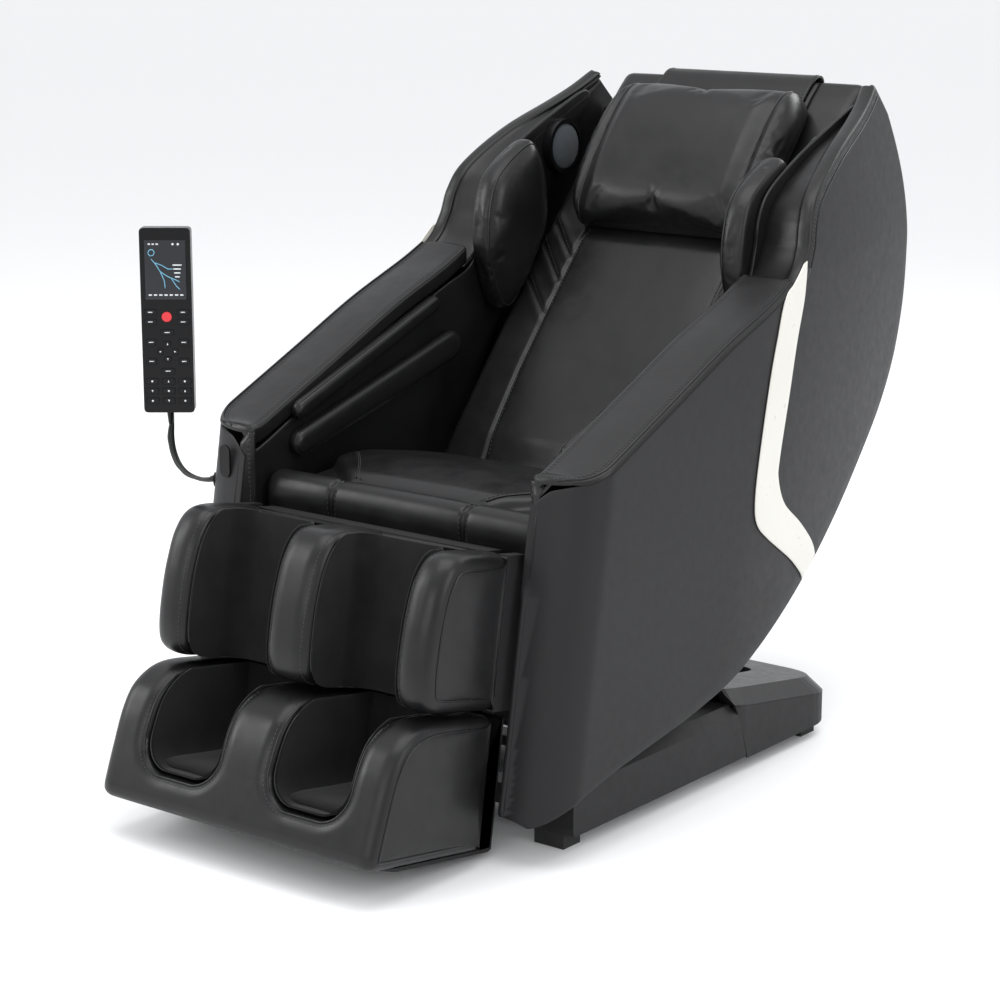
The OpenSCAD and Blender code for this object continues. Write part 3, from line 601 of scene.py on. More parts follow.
def woven_finish(name, colour):
    """Speaker cloth: over-and-under threads 1.1 mm apart as the product of two sine waves."""
    f = Finish(name, colour, 0.85, Sheen_Weight=0.2, Specular_IOR_Level=0.25)
    waves = []
    for axis in (1, 2):
        split = f.add("ShaderNodeSeparateXYZ")
        f.link(f.place, split.inputs[0])
        wave = f.add("ShaderNodeMath", operation="MULTIPLY")
        f.link(split.outputs[axis], wave.inputs[0])
        wave.inputs[1].default_value = 2 * math.pi / 0.0022
        sine = f.add("ShaderNodeMath", operation="SINE")
        f.link(wave.outputs[0], sine.inputs[0])
        waves.append(sine.outputs[0])
    both = f.add("ShaderNodeMath", operation="MULTIPLY")
    f.link(waves[0], both.inputs[0])
    f.link(waves[1], both.inputs[1])
    f.tint(both.outputs[0], times(colour, 0.35), times(colour, 1.6), 0.0, 0.9)
    f.bump(both.outputs[0], 0.6, 0.0005)
    return f.mat


def make_finishes(c):
    """One material for each of the record's slots, and a few more for the new pieces. c holds the colours."""
    return {
        "leather": leather_finish("black_leather", c.leather),
        "seat_leather": leather_finish("seat_leather", times(c.leather, 1.15), 0.37, 0.36),
        "shell": moulded_finish("matt_shell", c.shell, 0.47, 0.10, 1300.0, 0.05, Specular_IOR_Level=0.22),
        "base_plastic": moulded_finish("base_moulding", c.base_plastic, 0.55, 0.16, 800.0,
                                       Specular_IOR_Level=0.25),
        "cap_plastic": moulded_finish("ring_cap_moulding", c.cap_plastic, 0.36, 0.10, 900.0,
                                      Specular_IOR_Level=0.3),
        "light_trim": moulded_finish("warm_grey_trim", c.trim, 0.30, 0.03, 1500.0, 0.02, Coat_Weight=0.25),
        "steel": metal_finish("coated_steel", (0.045, 0.045, 0.048), 0.42, False),
        "bright_steel": metal_finish("bright_steel", (0.60, 0.60, 0.62), 0.28, True),
        "feet_rubber": moulded_finish("foot_rubber", (0.016, 0.016, 0.016), 0.85, 0.25, 500.0),
        "wheel_rubber": moulded_finish("wheel_rubber", (0.022, 0.022, 0.022), 0.75, 0.20, 600.0),
        "nylon": moulded_finish("nylon", (0.62, 0.59, 0.52), 0.40, 0.05, 900.0, 0.04, Subsurface_Weight=0.1),
        "black_plastic": moulded_finish("black_plastic", (0.008, 0.008, 0.009), 0.42, 0.12, 900.0,
                                        Specular_IOR_Level=0.3),
        "gloss_black": moulded_finish("gloss_black", (0.004, 0.004, 0.0045), 0.24, 0.02, 1500.0, 0.05,
                                      Specular_IOR_Level=0.22),
        "red_key": moulded_finish("red_key", (0.62, 0.025, 0.035), 0.32, 0.05),
        "key_rubber": moulded_finish("key_rubber", (0.008, 0.008, 0.009), 0.55, 0.12, 1200.0,
                                     Specular_IOR_Level=0.2),
        "cord_rubber": moulded_finish("cord_rubber", (0.012, 0.012, 0.012), 0.48, 0.12, 1600.0),
        "lining": suede_finish("napped_lining", c.lining),
        "mesh": woven_finish("speaker_cloth", c.mesh),
        "dark_thread": moulded_finish("black_thread", (0.030, 0.030, 0.031), 0.60, 0.3, 2500.0, 0.15),
        # piping leather is 1.7 times lighter than the leather: a painted highlight along the piping's bright
        # line
        "piping": leather_finish("piping_leather_painted_highlight", times(c.leather, 1.7), 0.30, 0.10, 0.10),
        "glass": moulded_finish("screen_glass", (0.018, 0.020, 0.024), 0.14, 0.01, 800.0, 0.05,
                                Specular_IOR_Level=0.35),
        "print": moulded_finish("pale_print", (0.62, 0.64, 0.66), 0.55, 0.02),
        "blue_print": moulded_finish("blue_print", (0.14, 0.36, 0.50), 0.50, 0.02),
    }


FINISH = {}


def place(obj, finish, body="rocker", replaces=(), fill=None):
    """Gives a finished piece its material, its body and the CAD solids it stands for."""
    obj.data.materials.clear()
    obj.data.materials.append(FINISH[finish])
    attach(obj, body)
    if replaces:
        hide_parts(*replaces)
    return obj


def pair(make, name, finish, **facts):
    """The right-hand piece and its mirror image, placed. replaces holds the right-hand node's stem."""
    stem = facts.pop("replaces", None)
    right = make(name + "_right")
    left = mirrored(right, name + "_left")
    for obj, end in ((right, "_right"), (left, "_left")):
        place(obj, finish, replaces=(stem + end,) if stem else (), **facts)
    return right, left


# ---------------------------------------------------------------- shapes

def cross_loops(control, per=5):
    """Closed Catmull-Rom loops through (n, k, 3) control rings, per points to each stretch."""
    a, c, d = np.roll(control, 1, 1), np.roll(control, -1, 1), np.roll(control, -2, 1)
    b = control
    u = (np.arange(per) / per)[None, None, :, None]
    a, b, c, d = (q[:, :, None] for q in (a, b, c, d))
    q = 0.5 * (2 * b + (c - a) * u + (2 * a - 5 * b + 4 * c - d) * u ** 2 + (3 * b - a - 3 * c + d) * u ** 3)
    return q.reshape(control.shape[0], -1, 3)


def taper_ends(rings, reach, ends=(True, True)):
    """Rings drawn in to their middles over the last reach mm of the path, as a quarter ellipse."""
    mid = rings.mean(1, keepdims=True)
    run = np.concatenate([[0], np.cumsum(np.linalg.norm(np.diff(mid[:, 0], axis=0), axis=1))])
    k = np.ones(len(rings))
    for on, far in zip(ends, (run, run[-1] - run)):
        if on:
            k *= np.sqrt(np.maximum(0.0025, 1 - np.maximum(0, 1 - far / reach) ** 2))
    return mid + (rings - mid) * k[:, None, None]


def shell_sheet(name):
    """Shell between its upper and lower edge lines: x is the half width at (y, z), edges half round."""
    t = np.linspace(0, 1, 170)
    v = (np.linspace(0, 1, 34) ** 1.5)[None, :, None]
    p = curve(SHELL_UPPER, t)[:, None] * (1 - v) + curve(SHELL_LOWER, t)[:, None] * v
    outer = np.concatenate([shell_x(p[..., 0], p[..., 1])[..., None], p], -1)
    return thick_sheet(name, outer, outer - [SHELL_T, 0, 0])


def strip_sheet(name):
    """Light strip: between its front and rear edges, lifted 0.6 mm off the shell and 2.4 mm thick, crowned."""
    t = np.linspace(0, 1, 140)
    v = np.linspace(0, 1, 9)[None, :, None]
    p = curve(STRIP_FRONT, t)[:, None] * (1 - v) + curve(STRIP_REAR, t)[:, None] * v
    x = shell_x(p[..., 0], p[..., 1])[..., None]
    crown = 0.5 * 4 * v * (1 - v)
    return thick_sheet(name, np.concatenate([x + 3.0 + crown, p], -1), np.concatenate([x + 0.6, p], -1))


def rear_sheet(name):
    """Rear wall: the rear line carried across between the shells, 5 mm thick, with a faint outward crown."""
    t = np.linspace(0, 1, 120)
    p = curve(REAR_LINE, t)
    along = unit(np.gradient(p, axis=0))
    out = np.stack([along[:, 1], -along[:, 0]], -1)
    v = np.linspace(1, -1, 41)[None, :]
    half = (shell_x(p[:, 0], p[:, 1]) - 13)[:, None]
    grids = []
    for depth in (0.0, -5.0):
        q = p[:, None] + out[:, None] * (depth - 3.0 * v[..., None] ** 4)
        grids.append(np.concatenate([(half * v)[..., None], q], -1))
    return thick_sheet(name, *grids)


def armrest(name):
    """Armrest pad: a closed section carried up the arm line. Inside it rolls 21 mm down over the liner, its top
    is crowned 6 mm, and outside it ends in a roll just proud of the shell."""
    t = np.linspace(0, 1, 150)
    p = curve(ARM_LINE, t)
    x = np.maximum(shell_x(p[:, 0], p[:, 1]), 283)
    one = np.ones_like(x)
    table = [(263.2 * one, -20), (268.5 * one, -20.5), (271 * one, -6), (x - 7, -3.6), (x + 0.9, -3.0),
             (x + 1.5, -0.6), (x - 0.6, 2.2), (x - 8, 4.6), (0.5 * x + 134, 6.4), (271.5 * one, 4.6),
             (265.5 * one, 2.2), (263.2 * one, -3)]
    control = np.stack([np.stack([a, p[:, 0], p[:, 1] + b], -1) for a, b in table], 1)
    return skin(name, taper_ends(cross_loops(control, 4), 12))


def rim(name):
    """Leather rim on the shell's upper edge from the armrest to the top: a band 20 mm wide bent over the edge
    and 16 mm down the outside, and inside it a slope down to the liner."""
    t = np.linspace(0.60, 1, 170)
    p = curve(SHELL_UPPER, t)
    away = unit(np.gradient(p, axis=0))
    away = np.stack([-away[:, 1], away[:, 0]], -1)
    x = shell_x(p[:, 0], p[:, 1])
    inside = np.full_like(x, LINER_X + 0.6)
    table = [(inside, -17.5), (inside, -14), (inside + 8, -9.5), (0.5 * (x + inside), -4.5), (x - 24, -0.6),
             (x - 20, 3.6), (x - 11, 4.8), (x - 3, 4.0), (x + 1.5, 1.0), (x + 1.9, -5), (x + 1.6, -14),
             (x + 0.3, -15.5), (x + 0.3, -6), (x - 3, 0.4), (x - 24, -4.6), (inside + 7, -15),
             (inside + 6, -18)]
    control = np.stack([np.concatenate([a[:, None], p + away * b], -1) for a, b in table], 1)
    return skin(name, taper_ends(cross_loops(control, 4), 5))


def rim_line(side, across, down):
    """A line on the rim's outside: across mm proud of the shell, down mm below its edge."""
    p = curve(SHELL_UPPER, np.linspace(0.66, 0.995, 160))
    away = unit(np.gradient(p, axis=0))
    away = np.stack([-away[:, 1], away[:, 0]], -1)
    q = p - away * down
    return np.stack([side * (shell_x(p[:, 0], p[:, 1]) + across), q[:, 0], q[:, 1]], -1)


def liner(name):
    """Inner side wall: a flat leather sheet 6 mm thick between its top line and its foot."""
    top = [(-354, 503), (-330, 511), (-262, 543), (-144, 596), (-18, 653), (105, 700), (171, 728), (196, 790),
           (206, 842), (240, 884), (330, 932), (430, 974), (480, 992), (498, 986)]
    foot = [(-352, 404), (-330, 404), (-262, 404), (-144, 404), (-18, 404), (60, 404), (110, 430), (160, 500),
            (205, 570), (262, 650), (350, 775), (430, 890), (470, 945), (496, 982)]
    t = np.linspace(0, 1, 90)
    v = np.linspace(0, 1, 16)[None, :, None]
    p = curve(top, t)[:, None] * (1 - v) + curve(foot, t)[:, None] * v
    x = np.full(p.shape[:2] + (1,), LINER_X)
    return thick_sheet(name, np.concatenate([x, p], -1), np.concatenate([x + 6, p], -1))


def capsule(a, b, ra, rb, count=96):
    """Outline round two circles, and each outline point's nearest point on the line between their middles."""
    a, b = np.asarray(a, float), np.asarray(b, float)
    angle = np.linspace(0, 2 * np.pi, 720, endpoint=False)
    way = np.stack([np.cos(angle), np.sin(angle)], -1)
    first = (way @ a + ra) >= (way @ b + rb)
    outline = even(np.where(first[:, None], a + ra * way, b + rb * way), count, True)
    k = np.clip(((outline - a) @ (b - a)) / ((b - a) @ (b - a)), 0, 1)
    return outline, a + k[:, None] * (b - a)


def wall_pad(name, outline, axis, table):
    """Pad on the side wall: for each (scale, x) of the table a ring between the outline and its axis."""
    rings = []
    for scale, x in table:
        p = axis + scale * (outline - axis)
        rings.append(np.concatenate([np.full((len(p), 1), x), p], -1))
    return skin(name, np.array(rings))


def wall_table(wall, depth):
    """Section of a thin pad: flat on the wall, rolled edge, seam at two thirds of the depth, crowned face."""
    rows = [(0.02, 0), (0.5, 0), (0.88, 0), (0.96, 0.06), (1.0, 0.30), (1.0, 0.50), (0.965, 0.66), (0.93, 0.70),
            (0.86, 0.84), (0.7, 0.95), (0.45, 1.02), (0.2, 1.05), (0.02, 1.05)]
    return [(s, wall - d * depth) for s, d in rows]


ARM_PADS = [((-258, 556), (62, 680), 14, 12, 18), ((-258, 505), (104, 606), 20, 24, 20)]


def arm_pads(name):
    """Two tapered air pads along the arm, each round two circles."""
    out = []
    for a, b, ra, rb, depth in ARM_PADS:
        outline, axis = capsule(a, b, ra, rb)
        out.append(wall_pad(name + "_part", outline, axis, wall_table(LINER_X - 0.6, depth)))
    return join(name, out)


def arm_pad_seams(side):
    """Lines of the air pads' seams, along their lower edges."""
    lines = []
    for a, b, ra, rb, depth in ARM_PADS:
        outline, axis = capsule(a, b, ra, rb, 160)
        p = axis + 0.955 * (outline - axis)
        lines.append(np.concatenate([np.full((len(p), 1), side * (LINER_X - 0.6 - 0.665 * depth)), p], -1))
    return lines


WING_MIDDLE = np.array([250.0, 800.0])
WING_BACK = LINER_X - 0.7
WING_DEPTH = 54.0
WING_TABLE = [(0.02, 0), (0.5, 0), (0.90, 0.0), (0.975, 0.07), (1.0, 0.22), (1.0, 0.42), (0.985, 0.58),
              (0.955, 0.66), (0.935, 0.68), (0.90, 0.75), (0.82, 0.86), (0.68, 0.94), (0.45, 0.99), (0.2, 1.0),
              (0.02, 1.0)]


def wing(name):
    """Shoulder wing: rings from its flat back over a gusset to a crowned face, then blown up a little with the
    face seam held."""
    outline = loop(WING, 120)
    axis = np.broadcast_to(WING_MIDDLE, outline.shape)
    obj = wall_pad(name, outline, axis, [(s, WING_BACK - d * WING_DEPTH) for s, d in WING_TABLE])
    seam = wing_seam(1) * MM
    remesh(obj, 0.005, 4)

    def held(rest):
        near = np.min(np.linalg.norm(rest[:, None] - seam[None, ::3], axis=-1), axis=1)
        wall = smooth((LINER_X * MM - 0.004 - rest[:, 0]) / 0.012)
        return smooth(near / 0.030) * wall
    inflate(obj, 4.0, bpy.context.scene.chair_sizes.wing_swell, held)
    subdivide(obj)
    return obj


def wing_seam(side):
    """Line of the wing's face seam, just inside its outline."""
    p = WING_MIDDLE + 0.945 * (loop(WING, 120) - WING_MIDDLE)
    return np.concatenate([np.full((len(p), 1), side * (WING_BACK - 0.67 * WING_DEPTH)), p], -1)


def speaker_cloth(name):
    """Cloth dome over the speaker: a cap 5 mm high on a disc of 38 mm, with a turned-in edge."""
    r = np.array([38.3, 38.3, 37.6, 36, 32, 26, 18, 9, 0.4])
    x = SPEAKER[0] - np.array([-3, 0.0, 1.2, 2.2, 3.4, 4.4, 5.2, 5.7, 5.9])
    angle = np.linspace(0, 2 * np.pi, 64, endpoint=False)
    rings = np.stack([np.broadcast_to(x[:, None], (len(x), 64)), SPEAKER[1] + r[:, None] * np.cos(angle),
                      SPEAKER[2] + r[:, None] * np.sin(angle)], -1)
    return skin(name, rings)


def seat_top(x, y):
    """Height added to the seat: a crown of a quartic across, a sunk triangle beside the front corners, and the
    groove where the centre panel meets it."""
    crown = bpy.context.scene.chair_sizes.seat_crown / MM
    a = np.abs(x)
    edge = (a - 125) * 102 - (y + 292) * 121
    away = edge / math.hypot(102, 121)
    sunk = smooth(away / 7) * smooth((-168 - y) / 30)
    return (crown * (1 - (a / 250) ** 4) * (1 - smooth((y + 40) / 60)) * smooth((y + 300) / 40)
            - 15 * sunk - 2.5 * np.exp(-(away / 3.0) ** 2) * (y < -170))


def seat_pad(name):
    """Seat pad: the side profile carried across, drawn in at both ends, its top raised by seat_top."""
    profile = loop([(-289, 408), (-291, 440), (-289, 460), (-276, 467), (-215, 472), (-150, 474), (-70, 461),
                    (0, 447), (22, 436), (29, 420), (20, 404), (-130, 403), (-280, 403)], 150)
    x = np.linspace(-1, 1, 150)
    x = 245.5 * np.sign(x) * (1 - (1 - np.abs(x)) ** 1.25)
    squeeze = (1 - np.clip((np.abs(x) - 228) / 18, 0, 1) ** 2.2) ** 0.5
    mid = np.array([-130.0, 436.0])
    p = mid + (profile[None] - mid) * (1 - 0.16 * (1 - squeeze))[:, None, None]
    p[..., 1] = mid[1] + (profile[None, :, 1] - mid[1]) * squeeze[:, None]
    xs = np.broadcast_to(x[:, None], p.shape[:2])
    top = smooth((p[..., 1] - 436) / 16)
    p[..., 1] += top * seat_top(xs, p[..., 0])
    return skin(name, np.concatenate([xs[..., None], p], -1))


def front_roll(name):
    """Roll across the seat's front: its section carried across, drawn in by double seams at x = 125 and at the
    ends, each part between a little fuller."""
    profile = loop([(-333, 406), (-337, 430), (-336, 452), (-328, 466), (-314, 471.5), (-301, 469), (-294, 458),
                    (-293, 430), (-293, 404), (-312, 401)], 90)
    x = np.linspace(-257.5, 257.5, 330)
    a = np.abs(x)
    groove = (4.6 * (np.exp(-((a - 121) / 2.6) ** 2) + np.exp(-((a - 129) / 2.6) ** 2))
              - 1.2 * np.exp(-((a - 125) / 2.2) ** 2))
    full = np.where(a < 125, 1 - (a / 125) ** 6, 1 - (np.abs(a - 191) / 66) ** 6) * 2.0
    shrink = (1 - np.clip((a - 247) / 10.5, 0, 1) ** 2) ** 0.5
    mid = np.array([-314.0, 436.0])
    way = profile - mid
    size = np.linalg.norm(way, axis=1, keepdims=True)
    front = smooth((-296 - profile[:, 0]) / 10)[:, None]
    grow = (full - groove)[:, None, None] * front[None]
    p = mid + way[None] / size * (size * (0.55 + 0.45 * shrink)[:, None, None] + grow)
    return skin(name, np.concatenate([np.broadcast_to(x[:, None, None], p.shape[:2] + (1,)), p], -1))


CHEVRONS = [((236, 476), (158, 398)), ((236, 431), (158, 349)), ((236, 363), (154, 281))]


def back_face(x, bz):
    """Fullness of the back's face towards the sitter: crown across, less under the pillow; panels between the
    seams; grooves of 3.5 mm along the long seams and the slanting ones."""
    a = np.abs(x)
    crown = bpy.context.scene.chair_sizes.back_crown / MM
    low = 1 - smooth((bz - 425) / 40)
    out = crown * (1 - (a / 242) ** 4) * (0.15 + 0.85 * low) * smooth(bz / 60)
    seam = SEAM_X - 6 * smooth((200 - bz) / 200)
    out = out + 2.2 * low * (1 - np.clip(a / seam, 0, 1) ** 6) - 3.6 * np.exp(-((a - seam) / 3.4) ** 2)
    for (x0, z0), (x1, z1) in CHEVRONS:
        d = np.array([x1 - x0, z1 - z0], float)
        k = np.clip(((a - x0) * d[0] + (bz - z0) * d[1]) / (d @ d), 0, 1)
        away = np.hypot(a - x0 - k * d[0], bz - z0 - k * d[1])
        out = out - 3.4 * np.exp(-(away / 3.6) ** 2) + 1.8 * np.exp(-((away - 9) / 8) ** 2) * (a > seam)
    return out


def back_pad(name):
    """Back pad: its side profile carried across, its face moved by back_face and its ends rounded."""
    front = curve([(26, -4), (6, 0), (0, 12), (-3, 200), (0, 450), (2, 700), (7, 768), (14, 785), (24, 788)],
                  np.concatenate([np.linspace(0, 0.25, 14)[:-1], np.linspace(0.25, 0.86, 240),
                                  np.linspace(0.86, 1, 16)[1:]]))
    rear = curve([(30, 780), (32, 740), (34, 690), (54, 600), (59, 300), (60, 20), (50, 0)],
                 np.linspace(0, 1, 30))
    ring = np.vstack([front, rear])
    x = np.linspace(-1, 1, 170)
    x = 240 * np.sign(x) * (1 - (1 - np.abs(x)) ** 1.15)
    xs = np.broadcast_to(x[:, None], (len(x), len(ring)))
    by = np.broadcast_to(ring[None, :, 0], xs.shape).copy()
    bz = np.broadcast_to(ring[None, :, 1], xs.shape).copy()
    face = np.zeros(len(ring))
    face[:len(front)] = smooth((24 - front[:, 0]) / 16)
    by -= face[None] * back_face(xs, bz)
    edge = np.clip((np.abs(x) - 218) / 22, 0, 1)
    draw = 1 - np.sqrt(np.maximum(0, 1 - edge ** 2.4))
    by += draw[:, None] * (30 - by) * 0.85
    bz += draw[:, None] * (390 - bz) * 0.03
    return skin(name, back_point(xs, by, bz))


PILLOW = [(-6, 470), (-10, 456), (-34, 452), (-60, 476), (-74, 556), (-76, 640), (-66, 700), (-42, 726),
          (-14, 727), (-5, 708), (-5, 590)]


def pillow(name):
    """Neck pillow: its section carried across and drawn in over the last 40 mm to a soft gusset, then blown up
    with the two face seams held."""
    ring = loop(PILLOW, 110)
    x = np.linspace(-1, 1, 100)
    x = 189 * np.sign(x) * (1 - (1 - np.abs(x)) ** 1.3)
    a = np.abs(x)
    size = np.maximum(0.02, 1 - np.clip((a - 148) / 41.2, 0, 1) ** 2.4) ** 0.5
    mid = np.array([-36.0, 590.0])
    p = mid + (ring[None] - mid) * np.stack([size, 0.25 + 0.75 * size], -1)[:, None]
    inward = -4.0 * np.exp(-((a - 150) / 5) ** 2)
    p = p + unit(ring - mid)[None] * inward[:, None, None] * (ring[None, :, :1] < -20)
    obj = skin(name, back_point(np.broadcast_to(x[:, None], p.shape[:2]), p[..., 0], p[..., 1]))
    remesh(obj, 0.005, 3)

    def held(rest):
        side = np.abs(np.abs(rest[:, 0]) / MM - 150)
        c, s = math.cos(math.radians(40.3)), math.sin(math.radians(40.3))
        depth = (rest[:, 1] / MM - 50) * c - (rest[:, 2] / MM - 430) * s
        return smooth(side / 26) * smooth((-depth - 10) / 14)
    inflate(obj, 4.0, bpy.context.scene.chair_sizes.pillow_swell, held)
    subdivide(obj)
    return obj


def pillow_seams():
    """The pillow's two face seams, from its foot over the face to its top."""
    ring = loop(PILLOW, 220)
    order = np.argsort(ring[:, 1])
    face = ring[order]
    face = face[face[:, 0] < -24]
    face = even(face, 90)
    return [back_point(side * 150.0, face[:, 0], face[:, 1]) for side in (-1, 1)]


def strap(name):
    """Pillow strap: a 3.6 mm band over the back's top, from the pillow down behind."""
    line = curve([(-5.5, 722), (-3, 745), (-0.8, 768), (4, 786), (13.5, 797), (26, 796), (35.5, 778),
                  (35.8, 740), (35.8, 702)], np.linspace(0, 1, 90))
    out = unit(np.gradient(line, axis=0))
    out = np.stack([-out[:, 1], out[:, 0]], -1)
    x = np.linspace(-147.5, 147.5, 60)
    grids = []
    for lift in (1.7, -1.7):
        q = line + out * lift
        grids.append(back_point(x[:, None], q[None, :, 0], q[None, :, 1]))
    return thick_sheet(name, grids[0], grids[1])


def rolled(distance, reach, depth, power=2.3):
    """Depth of a rolled edge at a distance inside it: depth at the edge, a superellipse down to 0 at reach."""
    k = np.clip(1 - distance / reach, 0, 1)
    return depth * (1 - (1 - k ** power) ** (1 / power))


def leg_front(x, line, inward, reach, depth, well, well_reach, well_depth, floor):
    """Front of a leg unit at x and along its line: the line, set back by the rolled outer edges and by the
    rolled edges of the wells, and carried back to the well's floor inside them."""
    side = rolled(LEG_HALF - np.abs(x), reach, depth)
    d = well(x, line)
    edge = rolled(-d, well_reach, well_depth, 2.0)
    back = np.maximum(side, edge * (d < 0) + well_depth * (d >= 0))
    p = line + inward * back[..., None]
    inside = smooth(d / 2.0)
    room = p[..., 0] < floor
    return np.stack([np.where(room, p[..., 0] * (1 - inside) + floor * inside, p[..., 0]), p[..., 1]], -1)


def channel(x, _):
    """Signed distance inside the calf channels, which run straight along the leg, and 3 mm for the lining."""
    a = np.abs(x)
    return np.minimum(a - CHANNEL[0], CHANNEL[1] - a) + 3.0


def foot_hole(x, line):
    """Signed distance inside the foot wells, open at the top and round at the lip's corners, and 3 mm for the
    lining."""
    middle, half = (WELL[0] + WELL[1]) / 2, (WELL[1] - WELL[0]) / 2
    off = np.abs(np.abs(x) - middle)
    cx = np.maximum(0, off - (half - WELL_CORNER))
    cz = np.maximum(0, (WELL_LIP + WELL_CORNER) - line[..., 1])
    corner = WELL_CORNER - np.hypot(cx, cz)
    flat = np.minimum(half - off, line[..., 1] - WELL_LIP)
    return np.where((cx > 0) & (cz > 0), corner, flat) + 3.0


def leg_unit(name, line_points, rows, columns, reach, depth, well, well_reach, well_depth, floor):
    """Closed leather body of a leg unit: front surface across and along its line, flat sides with a soft swell,
    and a flat back."""
    dense = curve(line_points, np.linspace(0, 1, 900))
    line = even(dense, rows)
    tangent = unit(np.gradient(line, axis=0))
    inward = np.stack([-tangent[:, 1], tangent[:, 0]], -1)
    inward *= np.sign(((np.array([-60.0, line[:, 1].mean()]) - line) * inward).sum(-1, keepdims=True) + 1e-9)
    blur = np.ones(9) / 9
    inward = unit(np.stack([np.convolve(np.pad(inward[:, k], 4, "edge"), blur, "valid") for k in (0, 1)], -1))
    edge_x = 10 * np.linspace(0, 1, 12)[:-1] ** 2
    x = np.concatenate([edge_x - LEG_HALF, np.linspace(10 - LEG_HALF, LEG_HALF - 10, columns),
                        (LEG_HALF - edge_x)[::-1]])
    xs = np.broadcast_to(x[None], (rows, len(x)))
    wide = np.broadcast_to(line[:, None], (rows, len(x), 2))
    p = leg_front(xs, wide, inward[:, None], reach, depth, well, well_reach, well_depth, floor)
    core = np.stack([np.full(rows, LEG_REAR), np.linspace(line[0, 1] - 3, line[-1, 1] + 3, rows)], -1)
    sides = []
    for column, sign in ((0, -1), (-1, 1)):
        edge = p[:, column]
        k = np.linspace(0, 1, 16)[None, :, None]
        q = core[:, None] * (1 - k) + edge[:, None] * k
        swell = 4.0 * np.sin(np.pi * np.clip(k[..., 0], 0, 1)) ** 0.7
        fade = np.sin(np.pi * np.clip(np.arange(rows) / (rows - 1), 0, 1))[:, None] ** 0.4
        q = np.concatenate([sign * (LEG_HALF + swell * fade)[..., None], q], -1)
        sides.append(q if sign < 0 else q[:, ::-1])
    front = np.concatenate([xs[..., None], p], -1)
    grid = np.concatenate([sides[0][:, :-1], front, sides[1][:, 1:]], axis=1)
    return skin(name, leg_point(grid[..., 0], grid[..., 1], grid[..., 2])), (line, inward)


def leg_line(frame_of_line, x, back, trim=(0, None)):
    """A line at x along a leg unit's front, set back by back mm."""
    line, inward = frame_of_line
    q = (line + inward * back)[trim[0]:trim[1]]
    return leg_point(np.full(len(q), float(x)), q[:, 0], q[:, 1])


def lining_sheet(name, grid, thick=2.4):
    """Closed lining of even thickness behind a grid: the second face is the grid moved along its normals."""
    return thick_sheet(name, grid, grid - normals(grid) * thick)


def u_path(x0, x1, top, bottom, radius, count):
    """U-shaped line from (x0, top) down, across at bottom and up to (x1, top), with round corners."""
    side = np.sign(bottom - top)
    angle = np.linspace(0, np.pi / 2, 14)
    left = np.stack([x0 + radius * (1 - np.cos(angle)), bottom - side * radius * (1 - np.sin(angle))], -1)
    right = (left * [-1, 1] + [x0 + x1, 0])[::-1]
    return even(np.vstack([[(x0, top)], left, right, [(x1, top)]]), count)


def front_at(points, lz):
    """Front face of a leg unit: the line's depth at the height lz."""
    dense = curve(points, np.linspace(0, 1, 1200))
    keep = dense[:, 0] < -60
    dense = dense[keep]
    order = np.argsort(dense[:, 1])
    return np.interp(lz, dense[order, 1], dense[order, 0])


def calf_lining(name):
    """Lining of one calf channel: a U across at every height, from the front's rolled edge to the floor."""
    lz = np.linspace(-181, 38, 90)
    front = np.minimum(front_at(CALF, lz) + 13, CHANNEL_FLOOR - 4)
    corners = np.where(front < CHANNEL_FLOOR - 4, np.clip((CHANNEL_FLOOR - front) * 0.9, 3, 30), 3)
    rows = np.array([u_path(*CHANNEL, f, CHANNEL_FLOOR, r, 70) for f, r in zip(front, corners)])
    height = np.broadcast_to(lz[:, None], rows.shape[:2])
    grid = leg_point(rows[..., 0], rows[..., 1], height)
    return lining_sheet(name, grid)


def foot_lining(name):
    """Lining of one foot well: a U in height carried from the front back to the rear wall, which closes it."""
    u = u_path(*WELL, -193, WELL_LIP, WELL_CORNER, 80)
    front = front_at(FOOT, u[:, 1]) + 11
    k = np.linspace(0, 1, 40)[:, None]
    ly = front * (1 - k) + (WELL_REAR - 4) * k
    xs = np.broadcast_to(u[:, 0], ly.shape)
    lz = np.broadcast_to(u[:, 1], ly.shape)
    shrink = np.linspace(0.96, 0.02, 18)[:, None]
    xs = np.vstack([xs, 120 + (u[:, 0] - 120) * shrink])
    lz = np.vstack([lz, -193 + (u[:, 1] + 193) * shrink])
    ly = np.vstack([ly, np.full((18, len(u)), WELL_REAR)])
    return lining_sheet(name, leg_point(xs, ly, lz))


def sole_pad(name):
    """Soft pad on a well's floor: a rounded rectangle, crowned by a quartic."""
    outline = loop([(62, -206), (58, -130), (62, -52), (120, -46), (178, -52), (182, -130), (178, -206),
                    (120, -214)], 90)
    middle = np.array([120.0, -130.0])
    rings = []
    for s, h in ((0.02, 0), (0.9, 0), (0.985, 2), (1.0, 5), (0.985, 8.5), (0.94, 11), (0.8, 13.2),
                 (0.6, 14.4), (0.3, 15.2), (0.02, 15.4)):
        p = middle + s * (outline - middle)
        rings.append(leg_point(p[:, 0], p[:, 1], WELL_LIP + h))
    return skin(name, np.array(rings))


def tray(name):
    """Plastic tray under the foot unit: an L-shaped profile carried across, its front edge drawn back near the
    ends by a power of the distance from the middle."""
    profile = even([(-222, -384.4), (24, -384.4), (24, -194), (27.6, -194), (27.6, -390), (-216, -390),
                    (-222, -387)], 90, True)
    x = np.linspace(-246, 246, 60)
    p = np.broadcast_to(profile[None], (60, 90, 2)).copy()
    front = smooth((-100 - p[..., 0]) / 122)
    p[..., 0] += front * (38 * np.abs(x / 246) ** 10)[:, None]
    return skin(name, leg_point(np.broadcast_to(x[:, None], (60, 90)), p[..., 0], p[..., 1]))


